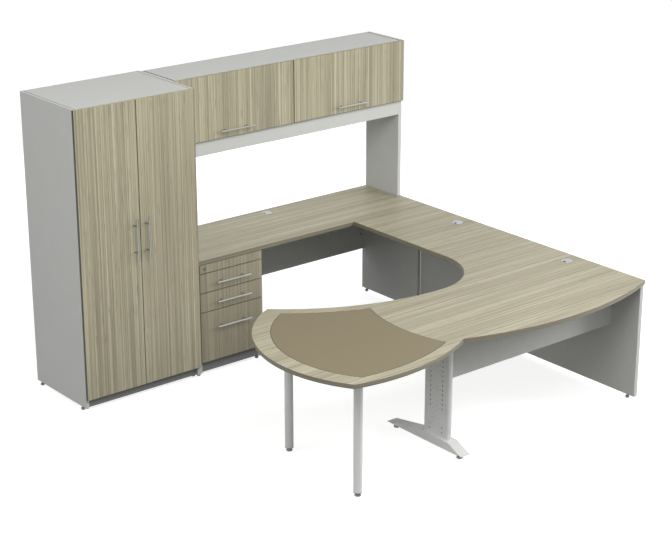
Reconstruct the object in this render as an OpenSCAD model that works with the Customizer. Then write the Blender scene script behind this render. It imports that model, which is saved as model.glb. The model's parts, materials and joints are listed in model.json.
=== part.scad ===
// U-shaped executive desk: wardrobe, credenza with drawers, overhead hutch, bridge and
// a bow-front desk with a shield-shaped conference end.
// While building, x runs right from the wardrobe's left side, y is zero at the wall and
// negative towards the visitor, and z is up from the floor. placed() then moves all of it
// so that the origin is on the floor, in the middle of the whole outline.

/* [Boards] */
// Thickness of the carcass boards
board_t = 18; // [15:1:22]
// Thickness of doors and drawer fronts
front_t = 18; // [17:1:22]
// Thickness of the end panels that carry the worktops
gable_t = 25; // [18:1:30]
// Thickness of the thin back panels
back_t = 6; // [3:1:12]
// Distance of a back panel from the rear edge of its carcass
back_inset = 10; // [4:1:20]
// Gap between a carcass and the back of its door or drawer front
door_gap = 2.2; // [2:0.1:4]
// Reveal left between the edge of a door and the edge of its carcass
edge_gap = 1.5; // [1:0.1:3]
// Gap between two drawer fronts
front_gap = 3; // [2:0.5:5]
// Hairline left where two units or two worktops meet
unit_gap = 0.3; // [0.1:0.1:1]

/* [Worktops] */
// Height of the worktops above the floor
top_z = 750; // [720:1:780]
// Thickness of the worktops
top_t = 25; // [20:1:32]
// Length of the credenza worktop along the wall
credenza_l = 1800; // [1700:1:2000]
// Depth of the credenza worktop
credenza_d = 565; // [540:1:620]
// Width of the bridge between credenza and desk
bridge_w = 600; // [520:1:640]
// Length of the bridge from the credenza to the desk
bridge_l = 850; // [780:1:950]
// Depth of the desk worktop along its straight right end
desk_end_d = 1032; // [980:1:1080]
// Radius of the user's corner between bridge and desk
corner_r = 400; // [350:1:430]
// Radius of the long inner sweep of the desk
sweep_r = 1400; // [1300:1:1500]
// Radius of the bowed front edge
bow_r = 1983; // [1900:1:2100]
// Length of the bowed front, from the right end to the notch
bow_l = 1419; // [1380:1:1450]
// Distance of the centre of the bow from the right end
bow_centre_in = 698; // [670:1:730]
// Radius of the left side of the conference end
head_r = 755; // [720:1:790]
// Distance of the centre of the conference end from the right end
head_in = 1625; // [1600:1:1660]
// Distance of the centre of the conference end in front of the bridge
head_out = 705; // [680:1:730]
// Radius of the front edge of the conference end
head_front_r = 1120; // [1080:1:1160]
// Distance of the centre of that front edge from the right end
head_front_in = 1963; // [1930:1:2000]

/* [Desk pad] */
// Thickness of the pad let into the conference end
pad_t = 3; // [2:0.5:6]
// Width of the wood border along the front and the inner sweep
pad_margin = 66; // [50:1:80]
// Width of the wood border along the left side
pad_side_margin = 98; // [80:1:120]
// Width of the pad across its waist
pad_waist = 706; // [660:1:740]
// Radius of the hollow end of the pad
pad_end_r = 838; // [780:1:900]
// Groove left around the pad
pad_gap = 1; // [0.5:0.1:2]

/* [Wardrobe] */
// Width of the wardrobe
wardrobe_w = 800; // [780:1:900]
// Height of the wardrobe above the floor
wardrobe_h = 1800; // [1700:1:1900]
// Depth of the wardrobe's side boards
wardrobe_side_d = 555; // [545:1:565]
// Height of the lower edge of the wardrobe doors above the floor
wardrobe_door_z = 82; // [70:1:110]
// Distance of the plinths behind the front of the sides
plinth_setback = 15; // [5:1:60]
// Distance of the top face of the hat shelf below the top of the wardrobe
hat_shelf_drop = 300; // [240:1:360]
// Height of the top face of the low shelf
low_shelf_z = 420; // [300:1:520]
// Distance of the shelves behind the front of the sides
shelf_setback = 22; // [5:1:60]
// Play at each end of a loose shelf
shelf_gap = 0.5; // [0.3:0.1:1]
// Radius of the coat rail
rail_r = 12.5; // [10:0.5:16]
// Wall of the coat rail
rail_wall = 1.5; // [1:0.1:3]
// Distance of the rail's axis below the hat shelf
rail_drop = 60; // [45:1:90]

/* [Pedestal] */
// Width of the drawer pedestal
pedestal_w = 464; // [430:1:500]
// Distance from the wardrobe to the pedestal
pedestal_gap = 5; // [2:1:12]
// Reveal of the drawer fronts at each side of the pedestal
pedestal_reveal = 2; // [1:0.5:4]
// Distance of the drawer fronts in front of the worktop edge
front_proud = 1; // [0:0.5:5]
// Gap between the worktop and the lock rail
rail_gap = 3; // [2:0.5:6]
// Height of the lock rail
lock_rail_h = 55; // [50:1:65]
// Height of each of the two upper drawer fronts
box_front_h = 120; // [115:1:125]
// Height of the lower edge of the file drawer front above the floor
file_front_z = 98; // [85:1:110]
// Length of the drawer boxes
box_l = 480; // [440:1:490]
// Thickness of the drawer box boards
box_t = 12; // [9:1:15]
// Thickness of the drawer bottoms
box_floor_t = 6; // [4:1:9]
// Height of the two upper drawer boxes
box_h = 80; // [70:1:85]
// Height of the file drawer box
file_box_h = 240; // [200:1:250]
// Height of a drawer box above the lower edge of its front
box_lift = 20; // [14:1:24]

/* [Drawer runners] */
// Room taken by a runner between the drawer and the carcass
runner_w = 12.7; // [12:0.1:15]
// Height of the fixed runner member
runner_h = 45; // [36:1:50]
// Length of the runner members
runner_l = 450; // [400:1:470]
// Sheet thickness of the runner members
runner_t = 1.5; // [1:0.1:2]
// Play between the two runner members
runner_play = 0.4; // [0.3:0.1:0.8]

/* [Hutch] */
// Distance of the top of the hutch below the top of the wardrobe
hutch_drop = 5; // [0:1:60]
// Depth of the hutch's side panels
hutch_side_d = 323; // [300:1:380]
// Height of the hutch doors
hutch_door_h = 396; // [360:1:430]
// Height of the valance strip under the doors
valance_h = 95; // [70:1:120]
// Width of the shadow groove at each end of the hutch top
groove_w = 4; // [2:0.5:8]
// Depth of that groove
groove_d = 7; // [3:0.5:12]

/* [Gables and modesty panels] */
// Distance of the credenza gable from the right end of its worktop
credenza_gable_in = 28; // [25:1:60]
// Distance of the bridge and desk gables from the right end
end_in = 3; // [0:0.5:8]
// Distance of the desk gable behind the corner of the worktop
desk_gable_back = 7; // [0:1:30]
// Distance of the credenza modesty panel in front of the wall
credenza_modesty_out = 5; // [0:1:20]
// Lower edge of the credenza modesty panel above the floor
credenza_modesty_z = 313; // [250:1:400]
// Lower edge of the desk modesty panel above the floor
desk_modesty_z = 421; // [350:1:500]
// Distance of the desk modesty panel behind the nose of the metal leg
desk_modesty_back = 43; // [30:1:60]
// Thickness of the modesty panels
modesty_t = 18; // [15:1:22]

/* [Metal leg] */
// Distance of the metal leg from the right end
leg_end_distance = 1341; // [1320:1:1360]
// Distance of the metal leg in front of the bridge
leg_bridge_distance = 756; // [740:1:770]
// Thickness of the leg column
column_t = 30; // [26:1:40]
// Depth of the leg column
column_d = 206; // [200:1:220]
// Sheet thickness of the column
column_wall = 2; // [1.5:0.1:3]
// Width of the slotted cover
cover_w = 146; // [130:1:150]
// Distance of the cover from each end of the column
cover_end = 12; // [8:1:30]
// Play around the cover
cover_gap = 0.3; // [0.2:0.1:0.6]
// Distance between the two rows of slots
slot_spacing = 96; // [90:1:104]
// Pitch of the slots
slot_pitch = 28; // [26:1:34]
// Width of a slot
slot_w = 6; // [4:0.5:8]
// Length of a slot
slot_l = 12; // [10:0.5:16]
// Diameter of the round perforations
dot_d = 4; // [2:0.5:6]
// Width of the pressed foot
foot_w = 68; // [60:1:80]
// Reach of the foot behind the column's centre
foot_rear = 383; // [350:1:400]
// Reach of the foot in front of the column's centre
foot_front = 222; // [210:1:250]
// Length of the level part of the foot
foot_flat = 234; // [225:1:250]
// Height of the level part of the foot
foot_top_z = 78; // [70:1:90]
// Height of the top face of the foot at its tips
foot_tip_z = 32; // [30:1:40]
// Sheet thickness of the foot's top
foot_plate_t = 4; // [3:0.5:5]
// Sheet thickness of the foot's side webs
foot_web_t = 3; // [2:0.5:4]
// Height of the lower edge of the webs
foot_web_z = 29; // [26:1:34]
// Thickness of the steel plates under the worktops
plate_t = 3; // [2:0.5:5]
// Width of the head plate of the metal leg
head_plate_w = 60; // [50:1:80]
// Length of the head plate of the metal leg
head_plate_l = 480; // [400:1:520]

/* [Post legs] */
// Radius of the post legs
post_r = 24; // [20:0.5:30]
// Wall of the post legs
post_wall = 2; // [1.5:0.1:3]
// Distance of the rear post inside the left edge
rear_post_distance = 182; // [150:1:220]
// Direction of the rear post from the centre of the conference end
rear_post_angle = 131; // [125:1:135]
// Distance of the front post inside the left edge
front_post_distance = 269; // [240:1:300]
// Direction of the front post from the centre of the conference end
front_post_angle = 207; // [203:1:211]
// Radius of the plates on top of the posts
post_plate_r = 60; // [45:1:75]

/* [Levelling glides] */
// Height of the undersides above the floor
glide_h = 25; // [20:1:32]
// Radius of a glide pad
glide_r = 12.5; // [10:0.5:12.5]
// Height of a glide pad
glide_pad_h = 14; // [10:0.5:18]
// Radius of a glide's stem
stem_r = 3; // [2.5:0.5:4]
// Depth of the stem inside its panel
stem_sink = 20; // [15:1:30]
// Distance of the rear glides from the end of a panel
glide_rear_in = 35; // [25:1:80]
// Distance of the front glides from the end of a panel
glide_front_in = 60; // [35:1:80]
// Distance of the front glides from the end of a pedestal side
pedestal_glide_in = 34; // [25:1:60]
// Distance of the glides under the metal leg from the tips of its foot
foot_glide_in = 43; // [38:1:60]
// Radius of the glides under the metal leg and the posts
big_glide_r = 18; // [15:0.5:20]

/* [Handles] */
// Length of a bar handle
handle_l = 246; // [220:1:280]
// Radius of the bar
handle_r = 5; // [4:0.5:7]
// Distance between the two posts
handle_spacing = 160; // [128:1:192]
// Radius of the posts
handle_post_r = 4; // [3:0.5:5]
// Distance from the face to the axis of the bar
handle_out = 35; // [30:1:45]
// Distance of the wardrobe handles from the meeting edges
wardrobe_handle_in = 40; // [30:1:60]
// Height of the middle of the wardrobe handles
wardrobe_handle_z = 990; // [900:1:1100]
// Height of the hutch handles above the lower edge of the door
hutch_handle_up = 50; // [35:1:80]
// Distance of the upper drawer handles below the top of the front
drawer_handle_down = 60; // [50:1:70]
// Distance of the file drawer handle below the top of its front
file_handle_down = 96; // [70:1:140]

/* [Hinges] */
// Distance of the pin from the outer edge of the door
pivot_in = 6.8; // [6:0.1:7]
// Depth of the pin in the back of the door
pivot_deep = 12; // [11.8:0.1:12.2]
// Radius of the hinge cup
cup_r = 17.5; // [17:0.1:17.8]
// Distance of the cup's centre from the edge of the door
cup_in = 20.5; // [20.4:0.1:21]
// Depth of the cup in the door
cup_deep = 15; // [14.9:0.1:15.5]
// Half height of the opening that the arm moves in
cup_slot = 6.5; // [6.2:0.1:7]
// Radius of the hinge pin
pin_r = 1.4; // [1.2:0.1:1.6]
// Radius of the arm's eye around the pin
eye_r = 2.5; // [2.3:0.1:2.6]
// Thickness of the arm
arm_t = 3; // [2:0.1:3.2]
// Half height of the arm
arm_half = 5; // [4:0.1:5.5]
// Thickness of the hinge plate
hinge_plate_t = 2.8; // [2.6:0.1:3]
// Number of hinges on a wardrobe door
wardrobe_hinges = 4; // [3:1:5]
// Distance of the end hinges from the ends of a wardrobe door
wardrobe_hinge_distance = 100; // [80:1:140]
// Distance of the hinges from the ends of a hutch door
hutch_hinge_distance = 120; // [90:1:200]

/* [Cable outlets] */
// Radius of the hole in the worktop
hole_r = 30; // [26:0.5:34]
// Width of the rim that lies on the worktop
rim_w = 3; // [2:0.5:6]
// Thickness of the rim
rim_t = 1.5; // [1:0.1:3]
// Wall of the liner
liner_wall = 2; // [1.5:0.1:3]
// Depth of the liner
liner_d = 20; // [14:1:24]
// Thickness of the cap
cap_t = 3; // [2:0.5:5]
// Width of the notch in the cap
notch_w = 16; // [12:0.5:20]
// Depth of the notch in the cap
notch_d = 16; // [12:0.5:20]
// Distance of the credenza outlet from the left end of its worktop
credenza_hole_x = 884; // [600:1:1100]
// Distance of the credenza outlet from the rear edge
credenza_hole_y = 68; // [60:1:110]
// Distance of the other outlets from the right end
side_hole_in = 104; // [95:1:160]

/* [Lock] */
// Distance of the lock from the left end of its rail
lock_in = 35; // [28:1:60]
// Radius of the lock housing
lock_r = 9.5; // [8:0.5:11]
// Radius of the lock's front ring
lock_ring_r = 11; // [11:0.5:13]
// Radius of the turning barrel
barrel_r = 6.5; // [5:0.1:7]
// Length of the cam behind the rail
cam_l = 22; // [16:1:24]

/* [Fits] */
// Radial play of a pin or a stem in its hole
fit = 0.05; // [0.02:0.01:0.1]
// Play of a sliding or clipped piece
play = 0.3; // [0.2:0.05:0.5]

/* [Hidden] */

// Colours of the finishes
wood = [0.74, 0.71, 0.60];
shell_grey = [0.73, 0.74, 0.72];
shade_grey = [0.45, 0.46, 0.46];
pad_tan = [0.60, 0.54, 0.44];
leg_silver = [0.80, 0.81, 0.81];
chrome = [0.88, 0.89, 0.90];
satin = [0.76, 0.78, 0.78];
zinc = [0.66, 0.68, 0.70];

// Overrun of a cutter past the face it cuts
over = 1;
// Facets of small and large round shapes
small_fn = 32;
round_fn = 64;
arc_fn = 360;

// Main lines of the plan
overall_w = wardrobe_w + credenza_l;
bridge_x = overall_w - bridge_w;
credenza_y = -credenza_d;
seam_y = credenza_y - bridge_l;
corner_y = seam_y - desk_end_d;
under_z = top_z - top_t;
unit_x = wardrobe_w + unit_gap;

// Centres of the arcs of the desk worktop
corner_c = [bridge_x - corner_r, seam_y];
sweep_c = [bridge_x - corner_r, seam_y - corner_r + sweep_r];
bow_c = [overall_w - bow_centre_in, corner_y + sqrt(bow_r * bow_r - bow_centre_in * bow_centre_in)];
notch_x = overall_w - bow_l;
notch_y = bow_c.y - sqrt(bow_r * bow_r - pow(notch_x - bow_c.x, 2));
head_c = [overall_w - head_in, seam_y - head_out];
front_cx = overall_w - head_front_in;
front_c = [front_cx, notch_y + sqrt(head_front_r * head_front_r - pow(notch_x - front_cx, 2))];
overall_d = -min(front_c.y - head_front_r, bow_c.y - bow_r);

// Lines of the wardrobe
wardrobe_door_back = -(wardrobe_side_d + door_gap);
wardrobe_door_face = wardrobe_door_back - front_t;
wardrobe_mid_x = wardrobe_w / 2;
wardrobe_floor_z = wardrobe_door_z + edge_gap;
wardrobe_door_top = wardrobe_h - edge_gap;
shelf_back_y = -(back_inset + back_t);
shelf_pin_r = 2.5;
shelf_pin_out = 8;
shelf_pin_sink = 9;
shelf_pin_in = 60;
hat_shelf_z = wardrobe_h - hat_shelf_drop;
shelf_tops = [hat_shelf_z, low_shelf_z];
rail_y = -wardrobe_side_d / 2;
rail_z = hat_shelf_z - board_t - rail_drop;
socket_flange_t = 3;
socket_flange_w = 8;
socket_flange_r = rail_r + socket_flange_w;
socket_ring_l = 10;
socket_ring_t = 3;

// Lines of the pedestal
pedestal_x = wardrobe_w + pedestal_gap;
front_x = pedestal_x + pedestal_reveal;
front_w = pedestal_w - 2 * pedestal_reveal;
front_face = credenza_y - front_proud;
front_back = front_face + front_t;
pedestal_side_y = front_back + door_gap;
toe_y = pedestal_side_y + plinth_setback;
pedestal_floor_z = file_front_z + edge_gap;
lock_rail_top = under_z - rail_gap;
lock_rail_z = lock_rail_top - lock_rail_h;
top_front_z = lock_rail_z - front_gap - box_front_h;
middle_front_z = top_front_z - front_gap - box_front_h;
file_front_h = middle_front_z - front_gap - file_front_z;
box_x = pedestal_x + board_t + runner_w;
box_w = pedestal_w - 2 * board_t - 2 * runner_w;
runner_setback = 3;
runner_up = 12;

// Lines of the hutch
hutch_top_z = wardrobe_h - hutch_drop;
hutch_door_top = hutch_top_z - edge_gap;
hutch_door_z = hutch_door_top - hutch_door_h;
hutch_shelf_z = hutch_door_z + edge_gap;
hutch_door_back = -(hutch_side_d + door_gap);
hutch_door_face = hutch_door_back - front_t;
hutch_mid_x = (unit_x + overall_w) / 2;

// Lines of the supports
credenza_gable_x = overall_w - credenza_gable_in - gable_t;
end_gable_x = overall_w - end_in - gable_t;
gable_top = under_z;
leg_c = [overall_w - leg_end_distance, seam_y - leg_bridge_distance];
nose_y = leg_c.y - column_d / 2;
plates_z = under_z - plate_t;
modesty_y = nose_y + desk_modesty_back;

// Lines of the hinges, measured from the pivot
carcass_front = -(pivot_deep + door_gap);
inner_face = board_t - edge_gap - pivot_in;
cup_mid = cup_in - pivot_in;
cup_floor = cup_deep - pivot_deep;
arm_x = inner_face + hinge_plate_t;
arm_reach = 50;
arm_end_y = carcass_front - arm_reach;
hinge_plate_setback = 16;
hinge_plate_y = carcass_front - hinge_plate_setback;
hinge_plate_l = 44;
hinge_plate_half = 16;
hinge_screw_r = 2;
flange_t = 0.8;
flange_half = 24;
flange_outer_l = 6;
flange_inner_l = 22;
flange_x0 = cup_mid - flange_outer_l;
flange_x1 = cup_mid + flange_inner_l;
flange_bar = 4;

// Positions of the outlets
outlets = [[unit_x + credenza_hole_x, -credenza_hole_y],
           [overall_w - side_hole_in, credenza_y - bridge_l / 2],
           [overall_w - side_hole_in, seam_y - desk_end_d / 2]];

// Heights of the slot rows of the leg, counted in pitches: two low ones, a pause, the rest
cover_z0 = foot_top_z + cover_end;
cover_z1 = plates_z - cover_end;
slot_first = 18;
slot_count = floor((cover_z1 - cover_z0 - 2 * slot_first) / slot_pitch);
slot_pause = [2, 3, 4];
dot_columns = 4;
dot_pause = [10, 11];

function share(i, n) = n > 1 ? i / (n - 1) : 0;
function wardrobe_hinge_z(i) = wardrobe_door_z + wardrobe_hinge_distance
    + share(i, wardrobe_hinges) * (wardrobe_door_top - wardrobe_door_z - 2 * wardrobe_hinge_distance);
function paused(i, gaps) = len(search(i, gaps)) > 0;
function post_at(r, a) = head_c + [r * cos(a), r * sin(a)];

post_centres = [post_at(head_r - rear_post_distance, rear_post_angle),
                post_at(head_r - front_post_distance, front_post_angle)];

// Moves the plan so that the middle of the outline is the origin
module placed() {
    translate([-overall_w / 2, overall_d / 2, 0]) children();
}

// A board between two opposite corners
module slab(low, high) {
    translate(low) cube(high - low);
}

// A profile drawn in y and z, thickened along +x from x0
module along_x(x0, t) {
    translate([x0, 0, 0]) rotate([90, 0, 90]) linear_extrude(t) children();
}

// A profile drawn in x and z, thickened along -y from y0
module along_y(y0, t) {
    translate([0, y0, 0]) rotate([90, 0, 0]) linear_extrude(t) children();
}

// A rod along x
module rod_x(at, r, l) {
    translate(at) rotate([0, 90, 0]) cylinder(h = l, r = r, $fn = round_fn);
}

// A rod along -y
module rod_y(at, r, l) {
    translate(at) rotate([90, 0, 0]) cylinder(h = l, r = r, $fn = round_fn);
}

// A bar handle: the bar runs along x, its posts stand on the plane y = 0
module bar_handle() {
    rod_x([-handle_l / 2, -handle_out, 0], handle_r, handle_l);
    for (side = [-1, 1])
        rod_y([side * handle_spacing / 2, 0, 0], handle_post_r, handle_out);
}

// Holes for the stems of levelling glides in the underside of a panel
module stem_hole(x, y) {
    translate([x, y, glide_h - over]) cylinder(h = stem_sink + over, r = stem_r + fit, $fn = small_fn);
}

// Hinge parts are drawn round the pivot: x runs along the door from its outer edge,
// y runs out of the cabinet, z is the pivot's axis
module hinge_pocket() {
    translate([cup_mid, cup_floor, 0]) rotate([90, 0, 0])
        cylinder(h = cup_deep + over, r = cup_r, $fn = round_fn);
}

// Cup with a slot for the arm, the pin across the slot and a screwed flange
module hinge_cup() {
    difference() {
        union() {
            translate([cup_mid, cup_floor - play, 0]) rotate([90, 0, 0])
                cylinder(h = cup_deep - play, r = cup_r - fit, $fn = round_fn);
            translate([flange_x0, -pivot_deep - flange_t, -flange_half])
                cube([flange_x1 - flange_x0, flange_t, 2 * flange_half]);
        }
        translate([-2 * cup_r, -2 * cup_deep, -cup_slot])
            cube([flange_x1 - flange_bar + 2 * cup_r, 4 * cup_deep, 2 * cup_slot]);
        for (side = [-1, 1])
            translate([cup_mid + cup_r / 2, 0, side * (flange_half - 2 * hinge_screw_r)])
                rotate([90, 0, 0]) cylinder(h = 2 * cup_deep, r = hinge_screw_r, $fn = small_fn);
    }
    translate([0, 0, -cup_slot - over]) cylinder(h = 2 * (cup_slot + over), r = pin_r, $fn = small_fn);
}

// Swan-neck arm with its eye on the pin, and the plate screwed inside the cabinet
module hinge_arm() {
    difference() {
        union() {
            translate([0, 0, -arm_half]) cylinder(h = 2 * arm_half, r = eye_r, $fn = small_fn);
            translate([0, -arm_t / 2, -arm_half]) cube([arm_x + arm_t, arm_t, 2 * arm_half]);
            translate([arm_x, arm_end_y, -arm_half]) cube([arm_t, -arm_end_y, 2 * arm_half]);
            translate([inner_face, hinge_plate_y - hinge_plate_l, -hinge_plate_half])
                cube([hinge_plate_t, hinge_plate_l, 2 * hinge_plate_half]);
        }
        translate([0, 0, -2 * arm_half]) cylinder(h = 4 * arm_half, r = pin_r + fit, $fn = small_fn);
        for (side = [-1, 1])
            translate([inner_face - over, hinge_plate_y - hinge_plate_l / 2,
                       side * (hinge_plate_half - 2 * hinge_screw_r)])
                rotate([0, 90, 0]) cylinder(h = hinge_plate_t + 2 * over, r = hinge_screw_r, $fn = small_fn);
    }
}

// Places children at every hinge of a door; side is -1 for left and 1 for right
module at_wardrobe_hinges(side) {
    pivot_x = side < 0 ? edge_gap + pivot_in : wardrobe_w - edge_gap - pivot_in;
    for (i = [0 : wardrobe_hinges - 1])
        translate([pivot_x, wardrobe_door_back - pivot_deep, wardrobe_hinge_z(i)])
            if (side < 0) mirror([0, 1, 0]) children();
            else rotate([0, 0, 180]) children();
}

module at_hutch_hinges(side) {
    x0 = side < 0 ? unit_x + edge_gap : hutch_mid_x + edge_gap;
    x1 = side < 0 ? hutch_mid_x - edge_gap : overall_w - edge_gap;
    for (x = [x0 + hutch_hinge_distance, x1 - hutch_hinge_distance])
        translate([x, hutch_door_back - pivot_deep, hutch_door_top - pivot_in])
            rotate([0, 90, 180]) children();
}

module wardrobe_sides() {
    placed() color(shell_grey) for (side = [0, 1]) {
        x0 = side * (wardrobe_w - board_t);
        difference() {
            slab([x0, -wardrobe_side_d, glide_h], [x0 + board_t, 0, wardrobe_h]);
            for (y = [-glide_rear_in, glide_front_in - wardrobe_side_d])
                stem_hole(side == 0 ? glide_r : wardrobe_w - glide_r, y);
            for (z = shelf_tops, y = [-shelf_pin_in, shelf_pin_in - wardrobe_side_d])
                rod_x([side == 0 ? board_t - shelf_pin_sink : wardrobe_w - board_t - over,
                       y, z - board_t - shelf_pin_r], shelf_pin_r + fit, shelf_pin_sink + over);
        }
    }
}

module wardrobe_decks() {
    placed() color(shell_grey) for (z = [wardrobe_floor_z, wardrobe_h - board_t])
        slab([board_t, -wardrobe_side_d, z], [wardrobe_w - board_t, 0, z + board_t]);
}

module wardrobe_back() {
    placed() color(shell_grey)
        slab([board_t, shelf_back_y, wardrobe_floor_z + board_t],
             [wardrobe_w - board_t, -back_inset, wardrobe_h - board_t]);
}

// The set-back kick boards under the wardrobe and the pedestal
module plinths() {
    wardrobe_y = plinth_setback - wardrobe_side_d;
    placed() color(shade_grey) {
        slab([board_t, wardrobe_y, glide_h], [wardrobe_w - board_t, wardrobe_y + board_t, wardrobe_floor_z]);
        slab([pedestal_x + board_t, toe_y, glide_h],
             [pedestal_x + pedestal_w - board_t, toe_y + board_t, pedestal_floor_z]);
    }
}

module wardrobe_shelves() {
    placed() color(shell_grey) for (z = shelf_tops)
        slab([board_t + shelf_gap, shelf_setback - wardrobe_side_d, z - board_t],
             [wardrobe_w - board_t - shelf_gap, shelf_back_y - shelf_gap, z]);
}

module shelf_pins() {
    placed() color(zinc) for (z = shelf_tops, y = [-shelf_pin_in, shelf_pin_in - wardrobe_side_d]) {
        rod_x([board_t - shelf_pin_sink, y, z - board_t - shelf_pin_r],
              shelf_pin_r, shelf_pin_sink + shelf_pin_out);
        rod_x([wardrobe_w - board_t - shelf_pin_out, y, z - board_t - shelf_pin_r],
              shelf_pin_r, shelf_pin_sink + shelf_pin_out);
    }
}

module coat_rail() {
    inner_w = wardrobe_w - 2 * board_t;
    placed() color(chrome) translate([0, rail_y, rail_z]) {
        difference() {
            rod_x([board_t + socket_flange_t, 0, 0], rail_r, inner_w - 2 * socket_flange_t);
            rod_x([board_t, 0, 0], rail_r - rail_wall, inner_w);
        }
        for (side = [0, 1]) {
            flange_x = side == 0 ? board_t : wardrobe_w - board_t - socket_flange_t;
            ring_x = side == 0 ? board_t : wardrobe_w - board_t - socket_flange_t - socket_ring_l;
            difference() {
                union() {
                    rod_x([flange_x, 0, 0], socket_flange_r, socket_flange_t);
                    rod_x([ring_x, 0, 0], rail_r + socket_ring_t, socket_flange_t + socket_ring_l);
                }
                rod_x([side == 0 ? board_t + socket_flange_t : ring_x - over, 0, 0],
                      rail_r + fit, socket_ring_l + over);
            }
        }
    }
}

module hinge_arms() {
    placed() color(zinc) {
        for (side = [-1, 1]) {
            at_wardrobe_hinges(side) hinge_arm();
            at_hutch_hinges(side) hinge_arm();
        }
    }
}

module wardrobe_door(side) {
    x0 = side < 0 ? edge_gap : wardrobe_mid_x + edge_gap;
    x1 = side < 0 ? wardrobe_mid_x - edge_gap : wardrobe_w - edge_gap;
    placed() color(wood) difference() {
        slab([x0, wardrobe_door_face, wardrobe_door_z], [x1, wardrobe_door_back, wardrobe_door_top]);
        at_wardrobe_hinges(side) hinge_pocket();
    }
}

module wardrobe_handle(side) {
    placed() color(satin)
        translate([wardrobe_mid_x + side * wardrobe_handle_in, wardrobe_door_face, wardrobe_handle_z])
            rotate([0, 90, 0]) bar_handle();
}

module wardrobe_door_left() { wardrobe_door(-1); }
module wardrobe_door_right() { wardrobe_door(1); }
module wardrobe_handle_left() { wardrobe_handle(-1); }
module wardrobe_handle_right() { wardrobe_handle(1); }
module wardrobe_hinges_left() { placed() color(zinc) at_wardrobe_hinges(-1) hinge_cup(); }
module wardrobe_hinges_right() { placed() color(zinc) at_wardrobe_hinges(1) hinge_cup(); }

// Two sides, a floor and a thin back
module pedestal_carcass() {
    inner_x0 = pedestal_x + board_t;
    inner_x1 = pedestal_x + pedestal_w - board_t;
    placed() color(shell_grey) {
        for (side = [0, 1]) difference() {
            slab([side == 0 ? pedestal_x : inner_x1, pedestal_side_y, glide_h],
                 [side == 0 ? inner_x0 : pedestal_x + pedestal_w, 0, under_z]);
            for (y = [-glide_rear_in, pedestal_side_y + pedestal_glide_in])
                stem_hole(side == 0 ? pedestal_x + glide_r : pedestal_x + pedestal_w - glide_r, y);
        }
        slab([inner_x0, pedestal_side_y, pedestal_floor_z], [inner_x1, 0, pedestal_floor_z + board_t]);
        slab([inner_x0, shelf_back_y, pedestal_floor_z + board_t], [inner_x1, -back_inset, under_z]);
    }
}

module lock_rail() {
    placed() color(wood) difference() {
        slab([front_x, front_face, lock_rail_z], [front_x + front_w, pedestal_side_y, lock_rail_top]);
        rod_y([front_x + lock_in, pedestal_side_y + over, lock_rail_z + lock_rail_h / 2],
              lock_r + fit, front_t + door_gap + 2 * over);
    }
}

lock_ring_t = 2;
lock_l = front_t + door_gap;
lock_nut_t = 4;
cam_t = 2.5;
cam_w = 10;
key_slot_w = 1.4;
key_slot_d = 3;

// Places children with y = 0 on the front of the lock rail and the lock's axis along y
module at_lock() {
    translate([front_x + lock_in, front_face, lock_rail_z + lock_rail_h / 2]) children();
}

module lock_housing() {
    placed() color(chrome) at_lock() difference() {
        union() {
            rod_y([0, lock_l + lock_nut_t, 0], lock_r, lock_l + lock_nut_t);
            rod_y([0, 0, 0], lock_ring_r, lock_ring_t);
            rod_y([0, lock_l + lock_nut_t, 0], lock_ring_r, lock_nut_t);
        }
        rod_y([0, lock_l + lock_nut_t + over, 0], barrel_r + fit,
              lock_l + lock_nut_t + lock_ring_t + 2 * over);
    }
}

module lock_barrel() {
    placed() color(satin) at_lock() {
        difference() {
            rod_y([0, lock_l + lock_nut_t + play, 0], barrel_r, lock_l + lock_nut_t + play + lock_ring_t);
            translate([-key_slot_w / 2, -lock_ring_t - over, -barrel_r / 2])
                cube([key_slot_w, key_slot_d + over, barrel_r]);
        }
        translate([-cam_w / 2, lock_l + lock_nut_t + play, barrel_r - cam_l])
            cube([cam_w, cam_t, cam_l]);
    }
}

// One fixed runner member: a channel open towards the drawer; side is -1 left, 1 right
module fixed_runner(side, z) {
    wall_x = side < 0 ? pedestal_x + board_t : pedestal_x + pedestal_w - board_t;
    lip = runner_w - 2 * runner_t;
    translate([wall_x, pedestal_side_y + runner_setback + runner_l, z])
        rotate([90, 0, 0]) linear_extrude(runner_l) mirror([side < 0 ? 0 : 1, 0]) {
            translate([0, -runner_h / 2]) square([runner_t, runner_h]);
            for (end = [-runner_h / 2, runner_h / 2 - runner_t])
                translate([0, end]) square([lip, runner_t]);
        }
}

// The drawer's runner member, nested in the fixed one
module moving_runner(side, z) {
    wall_x = side < 0 ? box_x : box_x + box_w;
    half = runner_h / 2 - runner_t - runner_play;
    lip = runner_w - 2 * runner_t;
    translate([wall_x, pedestal_side_y + runner_setback + runner_l, z])
        rotate([90, 0, 0]) linear_extrude(runner_l) mirror([side < 0 ? 1 : 0, 0]) {
            translate([0, -half]) square([runner_t, 2 * half]);
            for (end = [-half, half - runner_t]) translate([0, end]) square([lip, runner_t]);
        }
}

function runner_z(front_z) = front_z + box_lift + runner_up + runner_h / 2;

module drawer_rails() {
    placed() color(zinc) for (z = [top_front_z, middle_front_z, file_front_z], side = [-1, 1])
        fixed_runner(side, runner_z(z));
}

module drawer_front(z, h) {
    placed() color(wood) slab([front_x, front_face, z], [front_x + front_w, front_back, z + h]);
}

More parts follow.
